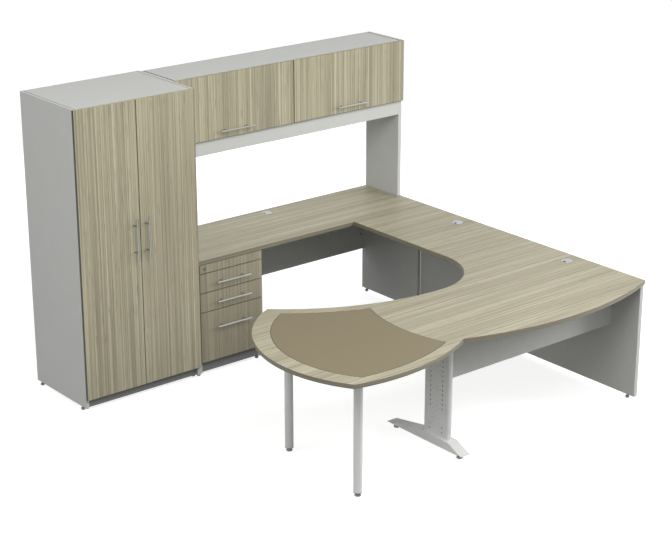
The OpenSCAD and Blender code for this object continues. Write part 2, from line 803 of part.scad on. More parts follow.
// A drawer box of five boards, open at the top
module drawer_box(front_z, h) {
    z0 = front_z + box_lift;
    y1 = front_back + box_l;
    inner_x = box_x + box_t;
    inner_w = box_w - 2 * box_t;
    placed() color(shell_grey) {
        for (x = [box_x, box_x + box_w - box_t]) slab([x, front_back, z0], [x + box_t, y1, z0 + h]);
        for (y = [front_back, y1 - box_t])
            slab([inner_x, y, z0], [inner_x + inner_w, y + box_t, z0 + h]);
        slab([inner_x, front_back + box_t, z0 + box_floor_t],
             [inner_x + inner_w, y1 - box_t, z0 + 2 * box_floor_t]);
    }
}

module drawer_handle(z) {
    placed() color(satin) translate([front_x + front_w / 2, front_face, z]) bar_handle();
}

module drawer_runners(front_z) {
    placed() color(zinc) for (side = [-1, 1]) moving_runner(side, runner_z(front_z));
}

module drawer_front_top() { drawer_front(top_front_z, box_front_h); }
module drawer_box_top() { drawer_box(top_front_z, box_h); }
module drawer_handle_top() { drawer_handle(top_front_z + box_front_h - drawer_handle_down); }
module drawer_runners_top() { drawer_runners(top_front_z); }
module drawer_front_middle() { drawer_front(middle_front_z, box_front_h); }
module drawer_box_middle() { drawer_box(middle_front_z, box_h); }
module drawer_handle_middle() { drawer_handle(middle_front_z + box_front_h - drawer_handle_down); }
module drawer_runners_middle() { drawer_runners(middle_front_z); }
module drawer_front_file() { drawer_front(file_front_z, file_front_h); }
module drawer_box_file() { drawer_box(file_front_z, file_box_h); }
module drawer_handle_file() { drawer_handle(file_front_z + file_front_h - file_handle_down); }
module drawer_runners_file() { drawer_runners(file_front_z); }

module outlet_hole(i) {
    translate([outlets[i].x, outlets[i].y, under_z - over])
        cylinder(h = top_t + 2 * over, r = hole_r, $fn = round_fn);
}

module credenza_top() {
    placed() color(wood) difference() {
        slab([unit_x, credenza_y, under_z], [overall_w, 0, top_z]);
        outlet_hole(0);
    }
}

module credenza_modesty() {
    placed() color(shade_grey)
        slab([pedestal_x + pedestal_w, -credenza_modesty_out - modesty_t, credenza_modesty_z],
             [credenza_gable_x, -credenza_modesty_out, under_z]);
}

// An end panel with stem holes for two glides
module gable(x, y_front, y_rear) {
    difference() {
        slab([x, y_front, glide_h], [x + gable_t, y_rear, gable_top]);
        for (y = [y_front + glide_front_in, y_rear - glide_rear_in]) stem_hole(x + gable_t / 2, y);
    }
}

module credenza_gable() { placed() color(shell_grey) gable(credenza_gable_x, credenza_y, 0); }
module bridge_gable() {
    placed() color(shell_grey) gable(end_gable_x, seam_y + unit_gap, credenza_y - unit_gap);
}
module desk_gable() {
    placed() color(shell_grey) gable(end_gable_x, corner_y + desk_gable_back, seam_y);
}

module desk_modesty() {
    placed() color(shell_grey)
        slab([leg_c.x + column_t / 2 + play, modesty_y, desk_modesty_z],
             [end_gable_x, modesty_y + modesty_t, plates_z]);
}

module hutch_uprights() {
    placed() color(shell_grey) {
        for (x = [unit_x, overall_w - gable_t])
            slab([x, -hutch_side_d, top_z], [x + gable_t, 0, hutch_top_z]);
        slab([hutch_mid_x - board_t / 2, -hutch_side_d, hutch_shelf_z + board_t],
             [hutch_mid_x + board_t / 2, shelf_back_y, hutch_top_z - board_t]);
    }
}

// The cabinet floor and the top, which has a shadow groove at each end
module hutch_decks() {
    x0 = unit_x + gable_t;
    x1 = overall_w - gable_t;
    placed() color(shell_grey) {
        slab([x0, -hutch_side_d, hutch_shelf_z], [x1, 0, hutch_shelf_z + board_t]);
        difference() {
            slab([x0, -hutch_side_d, hutch_top_z - board_t], [x1, 0, hutch_top_z]);
            for (x = [x0 - over, x1 - groove_w])
                translate([x, -hutch_side_d - over, hutch_top_z - groove_d])
                    cube([groove_w + over, hutch_side_d + 2 * over, groove_d + over]);
        }
    }
}

module hutch_back() {
    placed() color(shell_grey)
        slab([unit_x + gable_t, shelf_back_y, hutch_shelf_z + board_t],
             [overall_w - gable_t, -back_inset, hutch_top_z - board_t]);
}

module hutch_valance() {
    placed() color(shell_grey)
        slab([unit_x + gable_t, -hutch_side_d, hutch_shelf_z - valance_h],
             [overall_w - gable_t, board_t - hutch_side_d, hutch_shelf_z]);
}

module hutch_door(side) {
    x0 = side < 0 ? unit_x + edge_gap : hutch_mid_x + edge_gap;
    x1 = side < 0 ? hutch_mid_x - edge_gap : overall_w - edge_gap;
    placed() color(wood) difference() {
        slab([x0, hutch_door_face, hutch_door_z], [x1, hutch_door_back, hutch_door_top]);
        at_hutch_hinges(side) hinge_pocket();
    }
}

module hutch_handle(side) {
    quarter = (overall_w - unit_x) / 4;
    placed() color(satin)
        translate([hutch_mid_x + side * quarter, hutch_door_face, hutch_door_z + hutch_handle_up])
            bar_handle();
}

module hutch_door_left() { hutch_door(-1); }
module hutch_door_right() { hutch_door(1); }
module hutch_handle_left() { hutch_handle(-1); }
module hutch_handle_right() { hutch_handle(1); }
module hutch_hinges_left() { placed() color(zinc) at_hutch_hinges(-1) hinge_cup(); }
module hutch_hinges_right() { placed() color(zinc) at_hutch_hinges(1) hinge_cup(); }

module bridge_top() {
    placed() color(wood) difference() {
        slab([bridge_x, seam_y + unit_gap, under_z], [overall_w, credenza_y - unit_gap, top_z]);
        outlet_hole(1);
    }
}

module disc_at(c, r) {
    translate(c) circle(r, $fn = arc_fn);
}

// The user's space: a quarter disc in the corner and the long sweep left of it
module knee_outline(grow) {
    disc_at(corner_c, corner_r + grow);
    intersection() {
        disc_at(sweep_c, sweep_r + grow);
        translate([corner_c.x - 2 * sweep_r, sweep_c.y - 2 * sweep_r])
            square([2 * sweep_r, 4 * sweep_r]);
    }
}

// Lens of the conference end joined to the bowed desk, less the user's space
module desk_outline() {
    difference() {
        union() {
            intersection() {
                disc_at(head_c, head_r);
                disc_at(front_c, head_front_r);
            }
            intersection() {
                disc_at(bow_c, bow_r);
                translate([notch_x, bow_c.y - bow_r - over])
                    square([bow_l, seam_y - bow_c.y + bow_r + over]);
            }
        }
        knee_outline(0);
    }
}

// Shield outline of the pad, drawn in from the borders by the given groove
module pad_outline(groove) {
    end_x = head_c.x - head_r + pad_side_margin + pad_waist;
    difference() {
        intersection() {
            disc_at(head_c, head_r - pad_side_margin - groove);
            disc_at(front_c, head_front_r - pad_margin - groove);
        }
        disc_at([end_x + pad_end_r, head_c.y], pad_end_r + groove);
        disc_at(sweep_c, sweep_r + pad_margin + groove);
    }
}

module desk_top() {
    placed() color(wood) difference() {
        translate([0, 0, under_z]) linear_extrude(top_t) desk_outline();
        translate([0, 0, top_z - pad_t]) linear_extrude(pad_t + over) pad_outline(0);
        outlet_hole(2);
    }
}

module desk_pad() {
    placed() color(pad_tan) translate([0, 0, top_z - pad_t]) linear_extrude(pad_t) pad_outline(pad_gap);
}

// Plan of the leg column: straight flanks and two round noses
module column_plan(inset) {
    r = column_t / 2 - inset;
    flank = column_d - column_t;
    translate(leg_c) {
        square([2 * r, flank], center = true);
        for (end = [-1, 1]) translate([0, end * flank / 2]) circle(r, $fn = round_fn);
    }
}

cover_lip = 10;

// Hollow column, open towards the visitor's left, with lips behind the opening
module leg_column() {
    opening = cover_w + 2 * cover_gap;
    left_x = leg_c.x - column_t / 2;
    placed() color(leg_silver) {
        difference() {
            translate([0, 0, foot_top_z]) linear_extrude(plates_z - foot_top_z) difference() {
                column_plan(0);
                column_plan(column_wall);
            }
            translate([left_x - over, leg_c.y - opening / 2, cover_z0 - cover_gap])
                cube([column_wall + 2 * over, opening, cover_z1 - cover_z0 + 2 * cover_gap]);
        }
        for (side = [-1, 1])
            translate([left_x + column_wall,
                       leg_c.y + side * (opening / 2 - cover_lip / 2 + column_wall / 2) - cover_lip / 2
                       - column_wall / 2, foot_top_z])
                cube([column_wall, cover_lip + column_wall, plates_z - foot_top_z]);
    }
}

// A slot with round ends, drawn in y and z
module slot_shape() {
    square([slot_w, slot_l - slot_w], center = true);
    for (end = [-1, 1]) translate([0, end * (slot_l - slot_w) / 2]) circle(slot_w / 2, $fn = small_fn);
}

// Clip-fit cover with two rows of slots and staggered perforations between them
module leg_cover() {
    dot_pitch = slot_spacing / (dot_columns + 1);
    placed() color(leg_silver) along_x(leg_c.x - column_t / 2, column_wall) difference() {
        translate([leg_c.y - cover_w / 2, cover_z0]) square([cover_w, cover_z1 - cover_z0]);
        for (i = [0 : slot_count], side = [-1, 1]) if (!paused(i, slot_pause))
            translate([leg_c.y + side * slot_spacing / 2, cover_z0 + slot_first + i * slot_pitch])
                slot_shape();
        for (i = [1 : slot_count - 1], k = [0 : dot_columns - 1]) if (!paused(i, dot_pause))
            translate([leg_c.y + (k + 1) * dot_pitch - slot_spacing / 2,
                       cover_z0 + slot_first + (i + (k % 2) / 2) * slot_pitch])
                circle(dot_d / 2, $fn = small_fn);
    }
}

// Height of the foot's top face where it slopes, as a line between flat and tip
rear_slope = (foot_top_z - foot_tip_z) / (foot_rear - foot_flat / 2);
front_slope = (foot_top_z - foot_tip_z) / (foot_front - foot_flat / 2);
foot_glide_rear = foot_rear - foot_glide_in;
foot_glide_front = foot_front - foot_glide_in;
web_in = 20;
boss_r = 9;
boss_gap = 5;
boss_z = glide_pad_h + boss_gap;
boss_sink = 12;

// Side view of the foot's bent top plate, thickened downwards by t
module foot_bend(t) {
    polygon([[foot_rear, foot_tip_z], [foot_flat / 2, foot_top_z], [-foot_flat / 2, foot_top_z],
             [-foot_front, foot_tip_z], [-foot_front, foot_tip_z - t],
             [-foot_flat / 2, foot_top_z - t], [foot_flat / 2, foot_top_z - t],
             [foot_rear, foot_tip_z - t]]);
}

// Side view of a web, from the plate down to its straight lower edge
module foot_web() {
    rear_end = foot_rear - web_in;
    front_end = foot_front - web_in;
    polygon([[foot_flat / 2, foot_top_z], [-foot_flat / 2, foot_top_z],
             [-front_end, foot_tip_z + web_in * front_slope], [-front_end, foot_web_z],
             [rear_end, foot_web_z], [rear_end, foot_tip_z + web_in * rear_slope]]);
}

// Pressed foot: bent plate, two side webs and threaded bosses for the glides
module leg_foot() {
    left = -foot_w / 2;
    placed() color(leg_silver) translate([leg_c.x, leg_c.y, 0]) difference() {
        union() {
            along_x(left, foot_w) foot_bend(foot_plate_t);
            for (x = [left, -left - foot_web_t]) along_x(x, foot_web_t) foot_web();
            intersection() {
                along_x(left, foot_w) foot_bend(foot_top_z);
                for (y = [foot_glide_rear, -foot_glide_front])
                    translate([0, y, boss_z]) cylinder(h = foot_top_z, r = boss_r, $fn = small_fn);
            }
        }
        for (y = [foot_glide_rear, -foot_glide_front])
            translate([0, y, boss_z - over])
                cylinder(h = boss_sink + over, r = stem_r + fit, $fn = small_fn);
    }
}

module post_legs() {
    placed() color(leg_silver)
        for (c = post_centres)
            translate([c.x, c.y, glide_h]) difference() {
                cylinder(h = plates_z - glide_h, r = post_r, $fn = round_fn);
                translate([0, 0, -over])
                    cylinder(h = plates_z - glide_h + 2 * over, r = post_r - post_wall, $fn = round_fn);
            }
}

joint_plate_l = 140;
joint_plate_w = 60;
joint_plate_in = 120;

// Head plate of the metal leg, round plates of the posts and flat plates under the seams
module mounting_plates() {
    placed() color(shade_grey) translate([0, 0, plates_z]) {
        translate([leg_c.x - head_plate_w / 2, leg_c.y - head_plate_l / 2, 0])
            cube([head_plate_w, head_plate_l, plate_t]);
        for (c = post_centres)
            translate(c) cylinder(h = plate_t, r = post_plate_r, $fn = round_fn);
        for (y = [credenza_y, seam_y], x = [bridge_x + joint_plate_in, bridge_x + bridge_w / 2])
            translate([x, y - joint_plate_l / 2, 0]) cube([joint_plate_w, joint_plate_l, plate_t]);
    }
}

pad_foot_h = 6;
waist_w = 4;
waist_r = stem_r + waist_w;
dome_share = 0.8;
cap_ring_h = 4;
plug_l = 18;

// A glide: domed pad, waist and a stem that ends in the panel above
module glide(c, r, top) {
    translate([c.x, c.y, 0]) rotate_extrude($fn = small_fn)
        polygon([[0, 0], [r * dome_share, 0], [r, pad_foot_h / 2], [r, pad_foot_h],
                 [r * dome_share, glide_pad_h], [waist_r, glide_pad_h],
                 [stem_r, glide_pad_h + waist_r - stem_r], [stem_r, top], [0, top]]);
}

// The glide of a post, with a plug that fills the tube's lower end
module post_glide(c) {
    plug_r = post_r - post_wall - fit;
    ring_z = glide_h - cap_ring_h;
    translate([c.x, c.y, 0]) rotate_extrude($fn = round_fn)
        polygon([[0, 0], [big_glide_r * dome_share, 0], [big_glide_r, pad_foot_h / 2],
                 [big_glide_r, pad_foot_h], [big_glide_r * dome_share, glide_pad_h],
                 [waist_r, glide_pad_h], [waist_r, ring_z], [post_r, ring_z], [post_r, glide_h],
                 [plug_r, glide_h], [plug_r, glide_h + plug_l], [0, glide_h + plug_l]]);
}

module levelling_glides() {
    sunk = glide_h + stem_sink - play;
    placed() color(chrome) {
        for (x = [glide_r, wardrobe_w - glide_r], y = [-glide_rear_in, glide_front_in - wardrobe_side_d])
            glide([x, y], glide_r, sunk);
        for (x = [pedestal_x + glide_r, pedestal_x + pedestal_w - glide_r],
             y = [-glide_rear_in, pedestal_side_y + pedestal_glide_in])
            glide([x, y], glide_r, sunk);
        for (y = [-glide_rear_in, credenza_y + glide_front_in])
            glide([credenza_gable_x + gable_t / 2, y], glide_r, sunk);
        for (y = [credenza_y - unit_gap - glide_rear_in, seam_y + unit_gap + glide_front_in,
                  seam_y - glide_rear_in, corner_y + desk_gable_back + glide_front_in])
            glide([end_gable_x + gable_t / 2, y], glide_r, sunk);
        for (y = [foot_glide_rear, -foot_glide_front])
            glide([leg_c.x, leg_c.y + y], big_glide_r, boss_z + boss_sink - play);
        for (c = post_centres) post_glide(c);
    }
}

liner_r = hole_r - fit;
liner_bore = liner_r - liner_wall;
ledge_w = 2;
cap_z = top_z + rim_t - cap_t;

// Liners with a rim on the worktop and a ledge that the cap turns on
module grommet_liners() {
    placed() color(satin) for (c = outlets) translate([c.x, c.y, 0]) rotate_extrude($fn = round_fn)
        polygon([[liner_r, top_z - liner_d], [liner_r, top_z], [hole_r + rim_w, top_z],
                 [hole_r + rim_w, top_z + rim_t], [liner_bore, top_z + rim_t],
                 [liner_bore, cap_z], [liner_bore - ledge_w, cap_z],
                 [liner_bore - ledge_w, cap_z - ledge_w], [liner_bore, cap_z - 2 * ledge_w],
                 [liner_bore, top_z - liner_d]]);
}

module grommet_cap(i) {
    r = liner_bore - fit;
    placed() color(satin) translate([outlets[i].x, outlets[i].y, cap_z]) difference() {
        cylinder(h = cap_t, r = r, $fn = round_fn);
        translate([-r - over, -notch_w / 2, -over]) cube([notch_d + over, notch_w, cap_t + 2 * over]);
    }
}

module grommet_cap_credenza() { grommet_cap(0); }
module grommet_cap_bridge() { grommet_cap(1); }
module grommet_cap_desk() { grommet_cap(2); }

wardrobe_sides();
wardrobe_decks();
wardrobe_back();
plinths();
wardrobe_shelves();
shelf_pins();
coat_rail();
hinge_arms();
wardrobe_door_left();
wardrobe_handle_left();
wardrobe_hinges_left();
wardrobe_door_right();
wardrobe_handle_right();
wardrobe_hinges_right();
pedestal_carcass();
lock_rail();
lock_housing();
lock_barrel();
drawer_rails();
drawer_front_top();
drawer_box_top();
drawer_handle_top();
drawer_runners_top();
drawer_front_middle();
drawer_box_middle();
drawer_handle_middle();
drawer_runners_middle();
drawer_front_file();
drawer_box_file();
drawer_handle_file();
drawer_runners_file();
credenza_top();
credenza_modesty();
credenza_gable();
hutch_uprights();
hutch_decks();
hutch_back();
hutch_valance();
hutch_door_left();
hutch_handle_left();
hutch_hinges_left();
hutch_door_right();
hutch_handle_right();
hutch_hinges_right();
bridge_top();
bridge_gable();
desk_top();
desk_pad();
desk_gable();
desk_modesty();
leg_column();
leg_cover();
leg_foot();
post_legs();
mounting_plates();
levelling_glides();
grommet_liners();
grommet_cap_credenza();
grommet_cap_bridge();
grommet_cap_desk();
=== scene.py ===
"""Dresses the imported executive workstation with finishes, fittings, light and a camera."""

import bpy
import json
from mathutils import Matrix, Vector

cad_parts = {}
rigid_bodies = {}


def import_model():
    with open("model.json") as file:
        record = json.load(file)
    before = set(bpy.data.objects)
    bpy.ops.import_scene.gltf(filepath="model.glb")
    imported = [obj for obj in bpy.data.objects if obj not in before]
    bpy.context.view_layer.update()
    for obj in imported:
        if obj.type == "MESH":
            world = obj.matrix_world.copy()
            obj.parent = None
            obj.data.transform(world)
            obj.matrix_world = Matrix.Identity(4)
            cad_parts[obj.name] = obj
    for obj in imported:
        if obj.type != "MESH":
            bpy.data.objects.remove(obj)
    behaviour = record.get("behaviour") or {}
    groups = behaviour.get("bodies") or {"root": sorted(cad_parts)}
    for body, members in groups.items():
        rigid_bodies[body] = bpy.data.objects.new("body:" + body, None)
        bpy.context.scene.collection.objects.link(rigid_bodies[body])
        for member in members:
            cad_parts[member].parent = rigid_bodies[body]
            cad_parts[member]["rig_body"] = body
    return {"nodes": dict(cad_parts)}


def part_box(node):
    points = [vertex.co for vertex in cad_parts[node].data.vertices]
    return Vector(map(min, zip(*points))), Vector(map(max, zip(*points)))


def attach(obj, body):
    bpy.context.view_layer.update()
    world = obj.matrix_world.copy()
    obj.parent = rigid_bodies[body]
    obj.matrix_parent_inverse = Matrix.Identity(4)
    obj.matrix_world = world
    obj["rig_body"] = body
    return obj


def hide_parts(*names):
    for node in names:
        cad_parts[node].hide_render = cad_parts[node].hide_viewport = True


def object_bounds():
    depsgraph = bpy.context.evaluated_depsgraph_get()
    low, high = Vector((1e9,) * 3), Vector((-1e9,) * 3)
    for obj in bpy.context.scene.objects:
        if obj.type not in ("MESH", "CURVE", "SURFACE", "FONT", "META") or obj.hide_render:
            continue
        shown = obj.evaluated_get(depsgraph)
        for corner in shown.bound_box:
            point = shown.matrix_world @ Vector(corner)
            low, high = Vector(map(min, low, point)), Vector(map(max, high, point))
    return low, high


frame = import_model()
CAD_BOX = [list(corner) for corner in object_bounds()]
PLAN_ORIGIN = (CAD_BOX[0][0], CAD_BOX[1][1])

import json
import logging
import math
from dataclasses import dataclass, field
from enum import Enum
from itertools import product
from typing import Callable, ClassVar, Iterable, Sequence

import bmesh
import bpy
from mathutils import Matrix, Vector

LOG = logging.getLogger("workstation")
# Metres in a millimetre, and the distance in metres at which two points count as one.
MM = 0.001
NEAR = 1e-6
# A face lies across an axis if its normal has more than this share along it.
FLAT = 0.99
# Edges sharper than the first angle are rounded, and those sharper than the second stay crisp.
BEVEL_DEGREES = 35.0
CRISP_DEGREES = 50.0
EVEN_WEIGHT = 100
WHITE = (1.0, 1.0, 1.0)
# Centres of the post legs and of the metal leg, on x and y of the plan.
POSTS = ((599.08, -1687.55), (541.96, -2340.64))
LEG = (1259.0, -2171.0)

Piece = bpy.types.Object
Material = bpy.types.Material
Socket = bpy.types.NodeSocket
Colour = tuple[float, float, float]
Point = tuple[float, float, float]
Pair = tuple[float, float]
Feed = Socket | Colour | float


class Grain(Enum):
    """Axis along which wood grain or brush marks run."""

    ALONG_X = 0
    ALONG_Y = 1
    ALONG_Z = 2


class Edges(Enum):
    """How the narrow edges of a wooden board look."""

    PLAIN = "plain"
    BANDED = "banded"


class Body(Enum):
    """Rigid bodies of the workstation that added pieces ride on."""

    STATION = "workstation"
    WARDROBE_LEFT = "wardrobe_left"
    WARDROBE_RIGHT = "wardrobe_right"
    HUTCH_LEFT = "hutch_left"
    HUTCH_RIGHT = "hutch_right"
    DRAWER_TOP = "drawer_top"
    DRAWER_MIDDLE = "drawer_middle"
    DRAWER_FILE = "drawer_file"


class Facing(Enum):
    """Direction that a screw head or an inner side face looks in."""

    RIGHT = (1.0, 0.0, 0.0)
    LEFT = (-1.0, 0.0, 0.0)
    REAR = (0.0, 1.0, 0.0)
    DOWN = (0.0, 0.0, -1.0)


Seat = tuple[Vector, Facing]


class Screw(Enum):
    """Kinds of screws: radius and height of the head in mm."""

    PANEL = (3.2, 1.2)
    CUP = (2.8, 0.8)
    SOCKET = (2.0, 0.7)
    PLATE = (4.2, 1.8)


class Stock(Enum):
    """What a piece is made of: finish, slot of the record, rounding of its edges in mm.

    A front takes its finish from the panel of wood that it is cut from.
    """

    FRONT = ("panel", "woodgrain_board", 0.9)
    WORKTOP = ("worktop", "woodgrain_board", 1.2)
    BOARD = ("grey", "grey_board", 0.6)
    TRAY = ("grey", "grey_board", 0.5)
    KICK_BOARD = ("kick", "grey_board", 0.6)
    PAD = ("pad", "tan_pad", 0.6)
    LEVEL_HANDLE = ("satin_x", "satin_steel", 0.5)
    UPRIGHT_HANDLE = ("satin_z", "satin_steel", 0.5)
    FITTING = ("zinc", "zinc_fittings", 0.25)
    PIN = ("zinc", "zinc_fittings", 0.3)
    COAT_RAIL = ("chrome", "chrome", 0.4)
    LOCK_RING = ("glide", "chrome", 0.5)
    LOCK_BARREL = ("glide", "satin_steel", 0.3)
    GLIDE = ("glide", "chrome", 0.4)
    BLACK_PLATE = ("black_steel", "black_paint", 0.4)
    COLUMN = ("column", "silver_paint", 0.4)
    FOOT = ("silver", "silver_paint", 0.8)
    POST = ("silver", "silver_paint", 0.4)
    LINER = ("liner", "cast_outlets", 0.4)
    CAP = ("outlet", "cast_outlets", 0.5)
    FOLDED_RAIL = ("aluminium", "satin_steel", 0.3)
    MOULDING = ("corner", "grey_board", 0.5)
    BUMPER = ("clear", "grey_board", 0.7)
    PIN_HOLE = ("socket", "grey_board", 0.02)

    def __init__(self, finish: str, slot: str, rounding: float) -> None:
        """Takes a row apart; the rounding is kept in metres.

        Args:
            finish: Name of the finish.
            slot: Slot of the record.
            rounding: Rounding of the edges in mm.
        """
        self.finish = finish
        self.slot = slot
        self.rounding = rounding * MM


@dataclass(frozen=True)
class Zone:
    """An upright box of space in which a finish is painted dark as shade."""

    low: Point
    high: Point


@dataclass(frozen=True)
class Joint:
    """Joint at the end of a top board, painted dark as its shadow (millimetres)."""

    width: float
    depth: float


def plan(x: float, y: float, z: float) -> Vector:
    """Turns mm right of the wardrobe, behind the wall and above the floor into a point."""
    return Vector((PLAN_ORIGIN[0] + x * MM, PLAN_ORIGIN[1] + y * MM, z * MM))


def either_side(places: Iterable[float], step: float) -> list[float]:
    """Places a step before and a step behind each of some places on an axis."""
    return [place + way for place in places for way in (-step, step)]


def grid(*axes: Iterable[float]) -> list[Vector]:
    """Points at all crossings of places on x, y and z, given in plan millimetres."""
    return [plan(*spot) for spot in product(*axes)]


def moves_to(places: Iterable[Vector]) -> list[Matrix]:
    """Moves that bring copies from the origin to some points of the frame."""
    return [Matrix.Translation(place) for place in places]


def srgb(red: int, green: int, blue: int) -> Colour:
    """Turns a screen colour with levels from 0 to 255 into the linear one of shaders.

    Args:
        red: Red level.
        green: Green level.
        blue: Blue level.

    Returns:
        The same colour in linear light.
    """
    shares = (level / 255 for level in (red, green, blue))
    return tuple(
        share / 12.92 if share <= 0.04045 else ((share + 0.055) / 1.055) ** 2.4
        for share in shares
    )


def dimmed(colour: Colour, share: float) -> Colour:
    """A colour at a share of its light."""
    return tuple(share * level for level in colour)


def grey(level: float) -> Colour:
    """Linear colour without a hue."""
    return (level, level, level)


def add_node(
    tree: bpy.types.NodeTree, kind: str, inputs: dict[str | int, Feed], **settings: str
) -> bpy.types.Node:
    """Adds a shader node.

    Args:
        tree: Tree that gets the node.
        kind: Type of the node, without its prefix.
        inputs: Inputs by name or number, each with a value or the output that feeds it.
        settings: Properties of the node.

    Returns:
        The node.
    """
    node = tree.nodes.new("ShaderNode" + kind)
    for name, setting in settings.items():
        setattr(node, name, setting)
    for key, value in inputs.items():
        socket = node.inputs[key]
        if isinstance(value, Socket):
            tree.links.new(value, socket)
        else:
            socket.default_value = (*value, 1.0) if socket.type == "RGBA" else value
    return node


def set_stops(ramp: bpy.types.ColorRamp, stops: Sequence[tuple[float, Colour]]) -> None:
    """Sets the places and colours of a colour ramp.

    Args:
        ramp: The ramp.
        stops: Places from 0 to 1 and colours.
    """
    while len(ramp.elements) < len(stops):
        ramp.elements.new(0.5)
    for element, (place, colour) in zip(ramp.elements, stops):
        element.position = place
        element.color = (*colour, 1.0)


class Sketch:
    """A material under construction: a principled shader and the nodes that feed it."""

    sideways_to_upright = (0.45, 0.65)

    def __init__(self, name: str) -> None:
        """Starts a material of that name.

        Args:
            name: The name.
        """
        self.material = bpy.data.materials.new(name)
        self.material.use_nodes = True
        self.tree = self.material.node_tree
        self.shader = self.tree.nodes["Principled BSDF"]
        self.position = self.add("TexCoord", {}, "Object")

    def add(
        self, kind: str, inputs: dict[str | int, Feed], output: str | int = 0, **settings: str
    ) -> Socket:
        """Adds a node and returns one of its outputs."""
        return add_node(self.tree, kind, inputs, **settings).outputs[output]

    def fix(self, **values: float) -> None:
        """Sets sockets of the shader, with spaces in their names written as underscores."""
        for name, value in values.items():
            self.shader.inputs[name.replace("_", " ")].default_value = value

    def feed(self, name: str, output: Socket) -> None:
        """Links an output to a socket of the shader."""
        self.tree.links.new(output, self.shader.inputs[name])

    def stretched(
        self, scale: Point, offset: Point = (0.0, 0.0, 0.0), source: Socket | None = None
    ) -> Socket:
        """Scales and then shifts coordinates, those of the object if no source is given."""
        inputs = {"Vector": source or self.position, "Location": offset, "Scale": scale}
        return self.add("Mapping", inputs)

    def noise(
        self, vector: Socket, scale: float = 1.0, detail: float = 2.0, roughness: float = 0.5
    ) -> Socket:
        """Grey value of a noise pattern."""
        inputs = {"Vector": vector, "Scale": scale, "Detail": detail, "Roughness": roughness}
        return self.add("TexNoise", inputs)

    def cells(self, scale: float) -> Socket:
        """Distance to the nearest point of a cell pattern."""
        return self.add("TexVoronoi", {"Vector": self.position, "Scale": scale})

    def math(self, operation: str, *values: Socket | float) -> Socket:
        """Works out one operation on its values."""
        return self.add("Math", dict(enumerate(values)), operation=operation)

    def sum(self, parts: Sequence[tuple[Socket, float]], base: float = 0.0) -> Socket:
        """Adds values, each times its weight, to a constant.

        Args:
            parts: Pairs of a value and its weight.
            base: The constant.

        Returns:
            The sum.
        """
        total: Socket | float = base
        for value, weight in parts:
            total = self.math("MULTIPLY_ADD", value, weight, total)
        return total

    def ramp(self, value: Socket, stops: Sequence[tuple[float, Colour]]) -> Socket:
        """Maps a value from 0 to 1 to colours.

        Args:
            value: The value.
            stops: Places and colours.

        Returns:
            The colour.
        """
        node = add_node(self.tree, "ValToRGB", {"Fac": value})
        set_stops(node.color_ramp, stops)
        return node.outputs["Color"]

    def levels(self, value: Socket, low: float, high: float, start: float, end: float) -> Socket:
        """Stretches the part of a value between low and high to start and end."""
        limits = {"From Min": low, "From Max": high, "To Min": start, "To Max": end}
        return self.add("MapRange", {"Value": value, **limits})

    def blend(self, share: Socket, first: Socket | Colour, second: Socket | Colour) -> Socket:
        """Mixes two colours, with a share of the second."""
        return self.add("Mix", {"Factor": share, 6: first, 7: second}, 2, data_type="RGBA")

    def upright(self) -> Socket:
        """Is 1 on faces that look up or down and 0 on those that look sideways."""
        height = self.add("SeparateXYZ", {0: self.add("NewGeometry", {}, "True Normal")}, "Z")
        return self.levels(self.math("ABSOLUTE", height), *self.sideways_to_upright, 0.0, 1.0)

    def inside(self, zone: Zone) -> Socket:
        """Is 1 within a box of space and 0 elsewhere.

        Args:
            zone: The box.

        Returns:
            The share.
        """
        parts = add_node(self.tree, "SeparateXYZ", {0: self.position}).outputs
        share: Socket | float = 1.0
        for part, low, high in zip(parts, zone.low, zone.high):
            for operation, limit in (("GREATER_THAN", low), ("LESS_THAN", high)):
                share = self.math("MULTIPLY", share, self.math(operation, part, limit))
        return share

    def bump(self, height: Socket, strength: float, distance: float = 0.1 * MM) -> None:
        """Raises the surface by a pattern whose value 1 stands for a distance in metres."""
        inputs = {"Height": height, "Strength": strength, "Distance": distance}
        self.feed("Normal", self.add("Bump", inputs))


@dataclass(frozen=True)
class Layer:
    """Noise drawn out along the grain: marks in a metre, detail and weight."""

    along: float
    across: float
    detail: float
    weight: float


